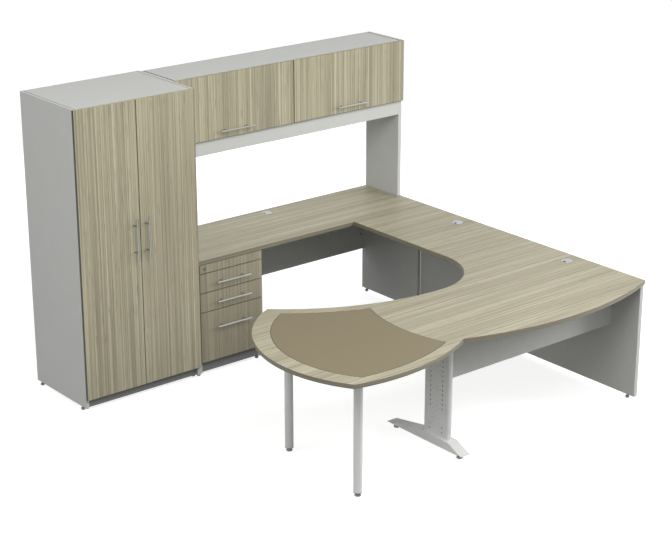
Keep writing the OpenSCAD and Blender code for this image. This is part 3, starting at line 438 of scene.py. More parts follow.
@dataclass(frozen=True)
class WoodLaminate:
    """Pale straight-grain wood laminate."""

    name: str
    grain: Grain
    offset: Point = (0.0, 0.0, 0.0)
    # Share of light left in the colours; below 1 it paints shade into the wood.
    shade: float = 1.0
    edges: Edges = Edges.PLAIN
    cream: Colour = srgb(183, 177, 153)
    light: Colour = srgb(167, 161, 138)
    middle: Colour = srgb(153, 147, 125)
    dark: Colour = srgb(134, 127, 107)
    pore: Colour = srgb(104, 97, 81)
    edge_light: Colour = srgb(129, 124, 107)
    edge_dark: Colour = srgb(107, 101, 86)
    figure: tuple[Layer, ...] = (
        Layer(0.9, 11.0, 0.5, 0.36),
        Layer(0.30, 55.0, 0.0, 0.18),
        Layer(0.45, 145.0, 0.5, 0.70),
        Layer(0.8, 260.0, 0.0, 0.62),
    )
    fine: Layer = Layer(3.0, 420.0, 2.0, 0.20)
    flecks: Layer = Layer(8.0, 260.0, 0.0, 0.55)
    pores: Layer = Layer(30.0, 1100.0, 1.0, 0.25)
    roughness: float = 0.55
    tone_base: float = -0.53
    tone_places: tuple[float, ...] = (0.30, 0.48, 0.64, 0.80)
    fleck_range: Pair = (0.70, 0.78)
    pore_range: Pair = (0.62, 0.74)
    edge_rows: Point = (1.2, 1.2, 260.0)
    edge_places: Pair = (0.36, 0.64)
    drift: Pair = (0.7, 2.0)
    waviness: float = 0.004

    def drawn_out(self, along: float, across: float) -> Point:
        """Scale that squeezes a pattern across the grain and draws it out along it.

        Args:
            along: Scale along the grain.
            across: Scale across it.

        Returns:
            The scale on each axis.
        """
        scale = [across, across, across]
        scale[self.grain.value] = along
        return tuple(scale)

    def build(self) -> Material:
        """Makes the material.

        Returns:
            The material.
        """
        sketch = Sketch(self.name)
        drift = sketch.noise(sketch.stretched(self.drawn_out(*self.drift), self.offset))
        sideways = sketch.sum([(drift, self.waviness)], -self.waviness / 2)
        push = sketch.add("CombineXYZ", {
            axis.value: sideways for axis in Grain if axis is not self.grain
        })
        wavy = sketch.add("VectorMath", {0: sketch.position, 1: push}, operation="ADD")

        def noise(layer: Layer) -> Socket:
            """Noise of one layer on the wavy coordinates.

            Args:
                layer: The layer.

            Returns:
                Its grey value.
            """
            scale = self.drawn_out(layer.along, layer.across)
            return sketch.noise(
                sketch.stretched(scale, self.offset, wavy), 1.0, layer.detail, self.roughness
            )

        fine, flecks, pores = noise(self.fine), noise(self.flecks), noise(self.pores)
        parts = [(noise(layer), layer.weight) for layer in self.figure]
        tone = sketch.sum([*parts, (fine, self.fine.weight)], self.tone_base)
        colours = (self.dark, self.middle, self.light, self.cream)
        wood = sketch.ramp(tone, [
            (place, dimmed(colour, self.shade))
            for place, colour in zip(self.tone_places, colours)
        ])
        for marks, limits, weight in (
            (flecks, self.fleck_range, self.flecks.weight),
            (pores, self.pore_range, self.pores.weight),
        ):
            share = sketch.levels(marks, *limits, 0.0, weight)
            wood = sketch.blend(share, wood, self.pore)
        if self.edges is Edges.BANDED:
            places = sketch.stretched(self.edge_rows, self.offset)
            rows = sketch.noise(places, detail=3.0, roughness=0.6)
            band = sketch.ramp(rows, list(zip(self.edge_places, (self.edge_dark, self.edge_light))))
            wood = sketch.blend(sketch.upright(), band, wood)
        sketch.feed("Base Color", wood)
        sketch.feed("Roughness", sketch.levels(fine, 0.3, 0.7, 0.50, 0.40))
        sketch.fix(Specular_IOR_Level=0.35)
        height = sketch.sum([(fine, 0.6), (pores, -0.4)], base=0.5)
        sketch.bump(height, strength=0.25, distance=0.2 * MM)
        return sketch.material


@dataclass(frozen=True)
class Melamine:
    """Melamine board with a fine speckle and a slight orange-peel surface."""

    name: str
    base: Colour = srgb(195, 196, 192)
    speck: Colour = srgb(177, 179, 175)
    roughness: float = 0.5

    def build(self) -> Material:
        """Makes the material.

        Returns:
            The material.
        """
        sketch = Sketch(self.name)
        grains = sketch.noise(sketch.position, scale=420.0, detail=3.0, roughness=0.7)
        cloud = sketch.noise(sketch.position, scale=9.0)
        mottle = sketch.sum([(grains, 0.92), (cloud, 0.08)])
        sketch.feed("Base Color", sketch.ramp(mottle, [(0.36, self.speck), (0.62, self.base)]))
        smoother, rougher = self.roughness - 0.04, self.roughness + 0.06
        sketch.feed("Roughness", sketch.levels(grains, 0.3, 0.7, smoother, rougher))
        sketch.fix(Specular_IOR_Level=0.3)
        sketch.bump(grains, strength=0.15)
        return sketch.material


@dataclass(frozen=True)
class WritingPad:
    """Smooth tan writing surface with a fine hide-like texture."""

    name: str = "tan_writing_surface"
    base: Colour = srgb(123, 113, 89)
    dark: Colour = srgb(115, 105, 81)

    def build(self) -> Material:
        """Makes the material.

        Returns:
            The material.
        """
        sketch = Sketch(self.name)
        pebbles = sketch.cells(scale=700.0)
        cloud = sketch.noise(sketch.position, scale=6.0, detail=3.0)
        mottle = sketch.sum([(pebbles, 0.70), (cloud, 0.30)])
        sketch.feed("Base Color", sketch.ramp(mottle, [(0.30, self.dark), (0.60, self.base)]))
        sketch.feed("Roughness", sketch.levels(cloud, 0.3, 0.7, 0.50, 0.58))
        sketch.fix(Specular_IOR_Level=0.3)
        sketch.bump(pebbles, strength=0.3)
        return sketch.material


@dataclass(frozen=True)
class PowderCoat:
    """Painted metal with the fine orange peel of powder coating."""

    name: str
    base: Colour = srgb(214, 215, 213)
    roughness: float = 0.42
    # Box in which the paint turns near black: painted shade inside the column's hollow channel.
    shaded_hollow: Zone | None = None
    hollow_shadow_colour: Colour = srgb(34, 34, 35)

    def build(self) -> Material:
        """Makes the material.

        Returns:
            The material.
        """
        sketch = Sketch(self.name)
        peel = sketch.noise(sketch.position, scale=900.0)
        cloud = sketch.noise(sketch.position, scale=14.0)
        paint = sketch.ramp(cloud, [(0.35, dimmed(self.base, 0.96)), (0.65, self.base)])
        # Paints shade inside the hollow zone.
        if self.shaded_hollow:
            paint = sketch.blend(sketch.inside(self.shaded_hollow), paint, self.hollow_shadow_colour)
        sketch.feed("Base Color", paint)
        smoother, rougher = self.roughness - 0.05, self.roughness + 0.05
        sketch.feed("Roughness", sketch.levels(peel, 0.3, 0.7, smoother, rougher))
        sketch.fix(Metallic=0.08, Specular_IOR_Level=0.45)
        sketch.bump(peel, strength=0.2)
        return sketch.material


@dataclass(frozen=True)
class Metal:
    """Bare or plated metal, brushed along one axis if asked."""

    name: str
    base: Colour
    roughness: float
    brushed: Grain | None = None
    # Box below the outlet's rim that is painted near black, as shadow inside the outlet.
    shaded_well: Zone | None = None
    well_shadow_colour: Colour = srgb(26, 26, 27)
    marks_across: float = 900.0
    marks_along: float = 12.0

    def build(self) -> Material:
        """Makes the material.

        Returns:
            The material.
        """
        sketch = Sketch(self.name)
        scale = [self.marks_across] * 3
        if self.brushed is not None:
            scale[self.brushed.value] = self.marks_along
        marks = sketch.noise(sketch.stretched(tuple(scale)), detail=3.0, roughness=0.6)
        wear = sketch.noise(sketch.position, scale=60.0)
        metal = sketch.ramp(marks, [(0.32, dimmed(self.base, 0.88)), (0.66, self.base)])
        # Paints shadow inside the well zone.
        if self.shaded_well:
            metal = sketch.blend(sketch.inside(self.shaded_well), metal, self.well_shadow_colour)
        sketch.feed("Base Color", metal)
        rough = sketch.sum([(marks, 0.12), (wear, 0.10)], self.roughness - 0.11)
        sketch.feed("Roughness", rough)
        sketch.fix(Metallic=1.0)
        sketch.bump(marks, strength=0.12 if self.brushed else 0.04)
        return sketch.material


@dataclass(frozen=True)
class Plastic:
    """Moulded plastic with a fine grain."""

    name: str
    base: Colour
    roughness: float = 0.55

    def build(self) -> Material:
        """Makes the material.

        Returns:
            The material.
        """
        sketch = Sketch(self.name)
        grain = sketch.noise(sketch.position, scale=1200.0)
        low = dimmed(self.base, 0.85)
        sketch.feed("Base Color", sketch.ramp(grain, [(0.35, low), (0.65, self.base)]))
        rougher = self.roughness + 0.1
        sketch.feed("Roughness", sketch.levels(grain, 0.3, 0.7, self.roughness, rougher))
        sketch.bump(grain, strength=0.2)
        return sketch.material


class Palette:
    """All finishes of the workstation, each made once."""

    # Corners of the column's channel that is painted in shade, and the height of the outlet rim
    # below which the liner is painted in shadow.
    column_hollow = ((1246.0, -2259.0, 60.0), (1272.0, -2083.0, 724.0))
    outlet_rim = 748.7
    far = 9.0
    # Drawer fronts and the lock rail are painted darker by this share, as shade that falls on the
    # pedestal.
    drawer_shade = 0.79
    figure_step = (0.37, 0.53, 0.41)
    first_figure = 0.2

    def __init__(self) -> None:
        """Makes the materials that several pieces share."""
        column = Zone(*(tuple(plan(*corner)) for corner in self.column_hollow))
        shaded_well = Zone((-self.far,) * 3, (self.far, self.far, self.outlet_rim * MM))
        along_x, along_y, along_z = Grain
        finishes = {
            "worktop": WoodLaminate(
                "worktop_woodgrain", along_x, (0.3, 0.7, 0.0), edges=Edges.BANDED
            ),
            # Near-black painted shadow for the gaps round doors and drawer fronts.
            "gap_shadow": Plastic("painted_gap_shadow", srgb(47, 45, 40), 0.5),
            # Painted shadow inside the joints of the top boards.
            "joint": Plastic("shadow_joint", srgb(52, 52, 50), 0.8),
            "grey": Melamine("grey_melamine"),
            # Kick boards: grey board darkened as painted shade under the recessed plinths.
            "kick": Melamine("grey_melamine_painted_shade", srgb(122, 123, 121), srgb(108, 109, 107)),
            "pad": WritingPad(),
            # Painted shadow for the groove round the writing pad.
            "pad_rim": WritingPad("painted_pad_shadow", srgb(92, 85, 70), srgb(80, 73, 60)),
            "silver": PowderCoat("silver_powder_coat"),
            "column": PowderCoat("silver_powder_coat_column", shaded_hollow=column),
            "black_steel": PowderCoat("black_powder_coat", srgb(52, 53, 55), 0.5),
            # Lit and shaded copies of one satin steel: the level handles are painted lighter and
            # the upright wardrobe handles darker, as light falls on them.
            "satin_x": Metal("satin_steel_x_lit", srgb(192, 196, 194), 0.34, along_x),
            "satin_z": Metal("satin_steel_z_shaded", srgb(160, 166, 164), 0.34, along_z),
            "aluminium": Metal("mill_aluminium", srgb(186, 188, 190), 0.38, along_y),
            "zinc": Metal("zinc_plate", srgb(172, 176, 180), 0.35),
            "chrome": Metal("chrome_plate", srgb(206, 208, 210), 0.16),
            "glide": Metal("glide_chrome", srgb(118, 120, 122), 0.22),
            "outlet": Metal("outlet_silver", srgb(196, 197, 202), 0.30),
            "liner": Metal("outlet_liner_silver", srgb(206, 207, 210), 0.30, shaded_well=shaded_well),
            "clear": Plastic("bumper_plastic", srgb(198, 200, 198), 0.35),
            # Painted shadow for the insides of shelf-pin holes.
            "socket": Plastic("pin_hole_painted_shadow", srgb(92, 88, 80), 0.8),
            "corner": Plastic("grey_corner_block", srgb(150, 151, 148), 0.5),
        }
        self.finishes = {name: finish.build() for name, finish in finishes.items()}
        self.fronts: dict[str, Material] = {}

    def front(self, panel: str) -> Material:
        """Wood cut from one panel, with a figure of its own that runs through its fronts.

        Args:
            panel: Name of the panel.

        Returns:
            The material.
        """
        if panel not in self.fronts:
            place = len(self.fronts)
            across, deep, along = (place * step for step in self.figure_step)
            offset = (across + self.first_figure, deep, along)
            # The drawers' panel gets painted shade.
            shade = self.drawer_shade if panel == "drawers" else 1.0
            self.fronts[panel] = WoodLaminate(
                "woodgrain_" + panel, Grain.ALONG_Z, offset, shade
            ).build()
        return self.fronts[panel]


def only(obj: Piece) -> None:
    """Selects one object alone and makes it active.

    Args:
        obj: The object.
    """
    bpy.ops.object.select_all(action="DESELECT")
    obj.select_set(True)
    bpy.context.view_layer.objects.active = obj


def edit(obj: Piece) -> None:
    """Opens an object for editing with all of its mesh selected.

    Args:
        obj: The object.
    """
    only(obj)
    bpy.ops.object.mode_set(mode="EDIT")
    bpy.ops.mesh.select_all(action="SELECT")


def done() -> None:
    """Leaves edit mode."""
    bpy.ops.object.mode_set(mode="OBJECT")


def pick(obj: Piece, kind: str, test: Callable[[object], bool]) -> None:
    """Selects in edit mode what passes a test.

    Args:
        obj: Object in edit mode.
        kind: "verts", "edges" or "faces".
        test: Called with each part of that kind.
    """
    bpy.ops.mesh.select_all(action="DESELECT")
    mode = {"verts": "VERT", "edges": "EDGE", "faces": "FACE"}[kind]
    bpy.ops.mesh.select_mode(type=mode)
    mesh = bmesh.from_edit_mesh(obj.data)
    for part in getattr(mesh, kind):
        if test(part):
            part.select_set(True)
    mesh.select_flush_mode()
    bmesh.update_edit_mesh(obj.data)


def middle_of(edge: bmesh.types.BMEdge) -> Vector:
    """Middle of an edge."""
    return (edge.verts[0].co + edge.verts[1].co) / 2


def settle(obj: Piece) -> None:
    """Puts an object's place into its mesh."""
    only(obj)
    bpy.ops.object.transform_apply(location=True, rotation=True, scale=True)


def apply_modifiers(obj: Piece) -> None:
    """Applies all modifiers of an object.

    Args:
        obj: The object.
    """
    only(obj)
    for modifier in list(obj.modifiers):
        bpy.ops.object.modifier_apply(modifier=modifier.name)


def smooth(obj: Piece, degrees: float = CRISP_DEGREES) -> None:
    """Shades an object smoothly, with edges above an angle kept crisp and flat faces even.

    Args:
        obj: Object to shade.
        degrees: The angle.
    """
    only(obj)
    bpy.ops.object.shade_smooth_by_angle(angle=math.radians(degrees))
    even = obj.modifiers.new("even_shading", "WEIGHTED_NORMAL")
    even.weight = EVEN_WEIGHT
    even.keep_sharp = True
    apply_modifiers(obj)


def round_edges(obj: Piece, width: float, segments: int = 2) -> None:
    """Rounds the sharp edges of an object and smooths its shading.

    Args:
        obj: Object to finish.
        width: Width of the rounding in metres.
        segments: Steps of the rounding.
    """
    bevel = obj.modifiers.new("rounding", "BEVEL")
    bevel.width = width
    bevel.segments = segments
    bevel.limit_method = "ANGLE"
    bevel.angle_limit = math.radians(BEVEL_DEGREES)
    apply_modifiers(obj)
    smooth(obj)


def face_outwards(obj: Piece) -> None:
    """Turns all faces of a closed mesh outwards.

    Args:
        obj: Object with the mesh.
    """
    edit(obj)
    bpy.ops.mesh.normals_make_consistent(inside=False)
    done()


def join(objects: Sequence[Piece]) -> Piece:
    """Joins objects into the first of them.

    Args:
        objects: The objects.

    Returns:
        The first.
    """
    only(objects[0])
    for obj in objects:
        obj.select_set(True)
    if len(objects) > 1:
        bpy.ops.object.join()
    return objects[0]


def primitive(shape: str, stretch: Point | None = None, **settings: object) -> Piece:
    """Adds a primitive with its place in its mesh and opens it for editing.

    Args:
        shape: Shape that Blender's operator is named after.
        stretch: Scale on each axis.
        settings: Settings of the operator.

    Returns:
        The object, in edit mode.
    """
    getattr(bpy.ops.mesh, f"primitive_{shape}_add")(**settings)
    obj = bpy.context.active_object
    if stretch is not None:
        obj.scale = stretch
    settle(obj)
    edit(obj)
    return obj


def block(low: Vector, high: Vector, rounding: float) -> Piece:
    """Models a box between two corners, with edges rounded by a width in metres.

    Args:
        low: Lowest corner.
        high: Highest corner.
        rounding: The width.

    Returns:
        The box.
    """
    obj = primitive("cube", size=1.0, location=(low + high) / 2, scale=high - low)
    bpy.ops.mesh.bevel(offset=rounding, segments=2, affect="EDGES")
    done()
    smooth(obj)
    return obj


def rod(start: Vector, end: Vector, radius: float, rounding: float, sides: int) -> Piece:
    """Models a round rod with rounded rims.

    Args:
        start: Middle of one end.
        end: Middle of the other end.
        radius: Radius in metres.
        rounding: Width of the rounding at the rims.
        sides: Number of flats round it.

    Returns:
        The rod.
    """
    obj = primitive(
        "cylinder",
        vertices=sides,
        radius=radius,
        depth=(end - start).length,
        location=(start + end) / 2,
        rotation=(end - start).to_track_quat("Z", "Y").to_euler(),
    )
    pick(obj, "faces", lambda face: len(face.verts) == sides)
    bpy.ops.mesh.bevel(offset=rounding, segments=3, affect="EDGES")
    done()
    smooth(obj)
    return obj


def fold(obj: Piece, edges: Callable[[object], bool], move: Point, thickness: float) -> None:
    """Folds flanges out of a plane in edit mode and gives the sheet its thickness.

    Args:
        obj: The plane.
        edges: Test for the edges that a flange grows from.
        move: How far the flanges reach, in metres.
        thickness: Thickness of the sheet, half on either side of the plane.
    """
    pick(obj, "edges", edges)
    bpy.ops.mesh.extrude_edges_move(TRANSFORM_OT_translate={"value": move})
    done()
    sheet = obj.modifiers.new("sheet", "SOLIDIFY")
    sheet.thickness = thickness
    sheet.offset = 0.0
    apply_modifiers(obj)
    face_outwards(obj)


def repeat(master: Piece, moves: Iterable[Matrix]) -> Piece:
    """Sets copies of one finished object in place, each with its own mesh.

    Args:
        master: The finished object; it is used up.
        moves: One move or turn for each copy.

    Returns:
        All copies as one object.
    """
    copies = []
    for move in moves:
        mesh = master.data.copy()
        mesh.transform(move)
        copy = bpy.data.objects.new(master.name + "_copy", mesh)
        bpy.context.scene.collection.objects.link(copy)
        copies.append(copy)
    bpy.data.objects.remove(master, do_unlink=True)
    return join(copies)


def cut(obj: Piece, cutter: Piece) -> None:
    """Cuts one closed object out of another and removes the cutter.

    Args:
        obj: Object that is cut.
        cutter: Object that is taken out of it.
    """
    modifier = obj.modifiers.new("cut", "BOOLEAN")
    modifier.operation = "DIFFERENCE"
    modifier.solver = "EXACT"
    modifier.object = cutter
    apply_modifiers(obj)
    bpy.data.objects.remove(cutter, do_unlink=True)


def finish(
    obj: Piece,
    name: str,
    material: Material,
    slot: str,
    body: Body | str,
    replaced: Iterable[str] = (),
) -> Piece:
    """Names a piece, dresses it and puts it on its body.

    Args:
        obj: The finished mesh.
        name: Name of the piece.
        material: Its material.
        slot: Material slot of the record that it takes its finish from; not used.
        body: Body that it rides on.
        replaced: CAD nodes that it stands for.

    Returns:
        The piece.
    """
    obj.name = name
    obj.data.name = name
    obj.data.materials.clear()
    obj.data.materials.append(material)
    settle(obj)
    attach(obj, body.value if isinstance(body, Body) else body)
    nodes = list(replaced)
    if nodes:
        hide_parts(*nodes)
    LOG.info("made %s", name)
    return obj


class ScrewHeads:
    """Cross-recessed screw heads, modelled once for each size and copied.

    Levels are shares of a head's height, and the cross is in shares of its radius.
    """

    sides = 20
    sunk, dome, recess_floor, recess_top = 0.2, 0.55, 0.35, 1.5
    arm, web, web_rounding = 0.62, 0.13, 0.2

    def __init__(self) -> None:
        """Starts with no sizes made."""
        self.masters: dict[Screw, bpy.types.Mesh] = {}

    def master(self, screw: Screw) -> bpy.types.Mesh:
        """Models a pan head on the origin that faces up, with a cross recess.

        Args:
            screw: Kind of the screw.

        Returns:
            Its mesh.
        """
        if screw not in self.masters:
            radius, height = (size * MM for size in screw.value)
            foot, tip = Vector((0.0, 0.0, -self.sunk * height)), Vector((0.0, 0.0, height))
            head = rod(foot, tip, radius, self.dome * height, self.sides)
            arm, web = self.arm * radius, self.web * radius
            for along, across in ((arm, web), (web, arm)):
                low = Vector((-along, -across, self.recess_floor * height))
                high = Vector((along, across, self.recess_top * height))
                cut(head, block(low, high, self.web_rounding * web))
            smooth(head)
            self.masters[screw] = head.data.copy()
            bpy.data.objects.remove(head, do_unlink=True)
        return self.masters[screw]

    def drive(self, seats: Sequence[Seat], screw: Screw) -> Piece:
        """Sets screw heads on a surface.

        Args:
            seats: Pairs of a point of the surface and the direction that the head faces.
            screw: Kind of the screws.

        Returns:
            All heads as one object.
        """
        head = bpy.data.objects.new("screw_head", self.master(screw).copy())
        return repeat(head, [
            Matrix.LocRotScale(place, Vector(facing.value).to_track_quat("Z", "Y"), None)
            for place, facing in seats
        ])


@dataclass
class Section:
    """A part of the workstation that is dressed and fitted out together.

    Its pieces are listed by CAD node: the name of the piece, and either what it is made of
    or the panel of wood that a front is cut from.
    """

    palette: Palette
    screws: ScrewHeads
    # Painted gap shadow of a front: the rim of its face in mm, how far in from the outline it
    # reaches, and the tilt above which an edge stays unpainted.
    rim: float = 1.0
    gap_shadow_depth: float = 0.7
    gap_shadow_tilt: float = 0.3
    flat_degrees: float = 0.2
    made: dict[str, Piece] = field(default_factory=dict)

    pieces: ClassVar[dict[str, tuple[str, Stock | str]]] = {}

    def build(self) -> None:
        """Dresses the pieces of the section and fits them out."""
        for node, (name, what) in self.pieces.items():
            make = self.front if isinstance(what, str) else self.dress
            self.made[node] = make(node, name, what)
        self.fit_out()

    def fit_out(self) -> None:
        """Adds to the dressed pieces what only the scene has."""

    def dress(self, node: str, name: str, stock: Stock, panel: str = "") -> Piece:
        """Replaces one CAD node by a copy with joined faces and rounded edges.

        Args:
            node: CAD node.
            name: Name of the piece.
            stock: What it is made of.
            panel: Panel of wood that a front is cut from.

        Returns:
            The piece.
        """
        source = frame["nodes"][node]
        copy = bpy.data.objects.new(name, source.data.copy())
        bpy.context.scene.collection.objects.link(copy)
        edit(copy)
        bpy.ops.mesh.remove_doubles(threshold=NEAR)
        bpy.ops.mesh.dissolve_limited(angle_limit=math.radians(self.flat_degrees))
        done()
        round_edges(copy, stock.rounding)
        material = self.palette.front(panel) if panel else self.palette.finishes[stock.finish]
        return finish(copy, name, material, stock.slot, source["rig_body"], [node])

    def front(self, node: str, name: str, panel: str) -> Piece:
        """Dresses a door or a drawer front in wood cut from a panel, with painted shadow on its
        edges and on a thin rim of its face, where the gaps between fronts are in shade.

        Args:
            node: CAD node.
            name: Name of the piece.
            panel: Panel that the front is cut from.

        Returns:
            The front.
        """
        obj = self.dress(node, name, Stock.FRONT, panel)
        low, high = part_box(node)
        edit(obj)
        pick(obj, "faces", lambda face: face.normal.y < -FLAT)
        bpy.ops.mesh.dissolve_faces()
        if self.rim:
            bpy.ops.mesh.inset(thickness=self.rim * MM)

        def in_gap_shadow(face: bmesh.types.BMFace) -> bool:
            """Whether a face lies along the outline and looks neither inwards nor up.

            Args:
                face: The face.

            Returns:
                Whether it does.
            """
            spot = face.calc_center_median()
            gap = min(spot.x - low.x, high.x - spot.x, spot.z - low.z, high.z - spot.z)
            reach = (self.gap_shadow_depth + self.rim) * MM
            facing = face.normal
            return gap < reach and facing.y < FLAT and facing.z < self.gap_shadow_tilt

        # Paints shadow on the edges and on the rim of the face, where the gaps are in shade.
        self.paint(obj, "gap_shadow", in_gap_shadow)
        return obj

    def paint(
        self, obj: Piece, finish_name: str, test: Callable[[bmesh.types.BMFace], bool]
    ) -> None:
        """Gives the faces that pass a test a further finish, and evens out the shading.

        Args:
            obj: Object to paint, in edit mode or not.
            finish_name: The further finish.
            test: Called with each face.
        """
        if obj.mode != "EDIT":
            edit(obj)
        obj.data.materials.append(self.palette.finishes[finish_name])
        pick(obj, "faces", test)
        obj.active_material_index = len(obj.data.materials) - 1
        bpy.ops.object.material_slot_assign()
        done()
        smooth(obj)

    def top_joints(self, node: str, side_node: str, joint: Joint) -> None:
        """Cuts the joints between a cabinet's top board and its sides and paints their shadow into
        them.

        Args:
            node: CAD node of the boards; the joints lie at both ends of the top one.
            side_node: CAD node of the side panels.
            joint: Size of the joints.
        """
        decks, sides = self.made[node], self.made[side_node]
        low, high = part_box(node)
        width, floor = joint.width * MM, high.z - joint.depth * MM
        reach, overlap, past, rounding = 0.3 * MM, 0.1 * MM, 1 * MM, 0.02 * MM
        for x in (low.x, high.x - width):
            start = Vector((x - overlap, low.y - past, floor))
            end = Vector((x + width + overlap, high.y + past, high.z + past))
            cut(decks, block(start, end, rounding))

        def in_joint(face: bmesh.types.BMFace) -> bool:
            """Whether a face of the boards lies in a joint.

            Args:
                face: The face.

            Returns:
                Whether it does.
            """
            spot = face.calc_center_median()
            near = min(spot.x - low.x, high.x - spot.x) < width + reach
            return near and floor - reach < spot.z < high.z - reach

        def beside_joint(face: bmesh.types.BMFace) -> bool:
            """Whether a face of the side panels lies across a joint."""
            spot = face.calc_center_median()
            return spot.z > floor and min(abs(spot.x - low.x), abs(spot.x - high.x)) < reach

        self.paint(decks, "joint", in_joint)
        edit(sides)
        bpy.ops.mesh.bisect(plane_co=(0.0, 0.0, floor), plane_no=(0.0, 0.0, 1.0))
        self.paint(sides, "joint", beside_joint)

    def add(self, obj: Piece, name: str, stock: Stock, body: Body = Body.STATION) -> None:
        """Finishes a piece that only the scene has."""
        finish(obj, name, self.palette.finishes[stock.finish], stock.slot, body)

    def drive(
        self,
        name: str,
        seats: Sequence[Seat],
        body: Body = Body.STATION,
        screw: Screw = Screw.PANEL,
    ) -> None:
        """Adds zinc-plated screw heads at pairs of a point and the way the head faces."""
        self.add(self.screws.drive(seats, screw), name, Stock.FITTING, body)

    def screw_cups(self, cups: dict[Body, Sequence[Vector]]) -> None:
        """Screws hinge cups to doors, at the places given for each door.

        Args:
            cups: Places of the screws by the body of their door.
        """
        for body, places in cups.items():
            seats = [(place, Facing.REAR) for place in places]
            self.drive(body.value + "_cup_screws", seats, body, Screw.CUP)


@dataclass
class Wardrobe(Section):
    """Tall cabinet with two hinged doors, shelves and a coat rail (sizes in millimetres)."""

    width: float = 800.0
    side_depth: float = 555.0
    board: float = 18.0
    hinge_heights: tuple[float, ...] = (182.0, 687.5, 1193.0, 1698.5)
    plate_out: float = 2.8
    plate_y: float = -517.0
    plate_screw: float = 12.0
    cup_screw_in: float = 30.75
    cup_screw: float = 20.0
    flange_y: float = -556.4
    holes: range = range(165, 1720, 32)
    hole_rows: Pair = (-60.0, -495.0)
    hole_radius: float = 2.5
    hole_ends: Pair = (-0.4, 0.06)
    front_half: float = -300.0
    below_shelf: float = 32.0
    above_shelf: float = 6.0
    beside_hinge: float = 22.0
    shelf_heights: Pair = (1500.0, 420.0)
    rail_height: float = 1422.0
    socket_out: float = 3.0
    socket_screw: float = 17.8
    bumper_radius: float = 4.0
    bumper_ends: Pair = (0.4, -1.7)
    bumper_heights: Pair = (92.5, 1791.0)
    bumper_aside: float = 30.0
    joint: Joint = Joint(3.0, 3.0)
    # The wardrobe doors get painted gap shadow on their edges only.
    rim: float = 0.0

    pieces = {
        "wardrobe_door_left": ("left_wardrobe_door", "left_door"),
        "wardrobe_door_right": ("right_wardrobe_door", "right_door"),
        "wardrobe_back": ("wardrobe_back_panel", Stock.BOARD),
        "wardrobe_shelves": ("wardrobe_loose_shelves", Stock.BOARD),
        "wardrobe_sides": ("wardrobe_side_panels", Stock.BOARD),
        "wardrobe_decks": ("wardrobe_top_and_bottom", Stock.BOARD),
        "plinths": ("kick_boards", Stock.KICK_BOARD),
        "wardrobe_handle_left": ("left_wardrobe_handle", Stock.UPRIGHT_HANDLE),
        "wardrobe_hinges_left": ("left_door_hinge_cups", Stock.FITTING),
        "wardrobe_handle_right": ("right_wardrobe_handle", Stock.UPRIGHT_HANDLE),
        "wardrobe_hinges_right": ("right_door_hinge_cups", Stock.FITTING),
        "hinge_arms": ("hinge_arms_and_plates", Stock.FITTING),
        "shelf_pins": ("shelf_support_pins", Stock.PIN),
        "coat_rail": ("coat_rail_and_sockets", Stock.COAT_RAIL),
    }

    def inner_faces(self, out: float) -> tuple[tuple[float, Facing], ...]:
        """Places on x at a distance from both side panels, and the way inwards."""
        left = self.board + out
        return (left, Facing.RIGHT), (self.width - left, Facing.LEFT)

    def hinge_screws(self) -> None:
        """Screws the hinge plates to the sides and the cups to the doors."""
        heights = either_side(self.hinge_heights, self.plate_screw)
        self.drive("wardrobe_hinge_plate_screws", [
            (place, facing)
            for x, facing in self.inner_faces(self.plate_out)
            for place in grid([x], [self.plate_y], heights)
        ])
        heights = either_side(self.hinge_heights, self.cup_screw)
        right = self.width - self.cup_screw_in
        self.screw_cups({
            Body.WARDROBE_LEFT: grid([self.cup_screw_in], [self.flange_y], heights),
            Body.WARDROBE_RIGHT: grid([right], [self.flange_y], heights),
        })

    def is_free(self, y: float, height: float) -> bool:
        """Whether neither a shelf nor a hinge plate is at a hole.

        Args:
            y: Place of the hole's row.
            height: Height of the hole.

        Returns:
            Whether the hole shows.
        """
        at_shelf = any(
            top - self.below_shelf < height < top + self.above_shelf
            for top in self.shelf_heights
        )
        at_hinge = y < self.front_half and any(
            abs(height - hinge) < self.beside_hinge for hinge in self.hinge_heights
        )
        return not at_shelf and not at_hinge

    def shelf_holes(self) -> None:
        """Sets the rows of shelf-pin holes, shown as sunk discs painted with the holes' shadow."""
        floor, rim = (Vector((end * MM, 0.0, 0.0)) for end in self.hole_ends)
        hole = rod(floor, rim, self.hole_radius * MM, Stock.PIN_HOLE.rounding, sides=16)
        turns = {Facing.RIGHT: Matrix.Identity(4), Facing.LEFT: Matrix.Rotation(math.pi, 4, "Z")}
        holes = repeat(hole, [
            Matrix.Translation(plan(x, y, height)) @ turns[facing]
            for x, facing in self.inner_faces(0.0)
            for y in self.hole_rows
            for height in self.holes
            if self.is_free(y, height)
        ])
        self.add(holes, "shelf_pin_holes", Stock.PIN_HOLE)

    def small_parts(self) -> None:
        """Adds the screws of the rail sockets and the door bumpers."""
        heights = either_side([self.rail_height], self.socket_screw)
        sockets = [
            (place, facing)
            for x, facing in self.inner_faces(self.socket_out)
            for place in grid([x], [-self.side_depth / 2], heights)
        ]
        self.drive("rail_socket_screws", sockets, screw=Screw.SOCKET)
        foot, tip = (Vector((0.0, end * MM, 0.0)) for end in self.bumper_ends)
        bumper = rod(foot, tip, self.bumper_radius * MM, Stock.BUMPER.rounding, sides=24)
        places = either_side([self.width / 2], self.bumper_aside)
        moves = moves_to(grid(places, [-self.side_depth], self.bumper_heights))
        self.add(repeat(bumper, moves), "wardrobe_door_bumpers", Stock.BUMPER)

    def fit_out(self) -> None:
        """Fits out the wardrobe."""
        self.top_joints("wardrobe_decks", "wardrobe_sides", self.joint)
        self.hinge_screws()
        self.shelf_holes()
        self.small_parts()


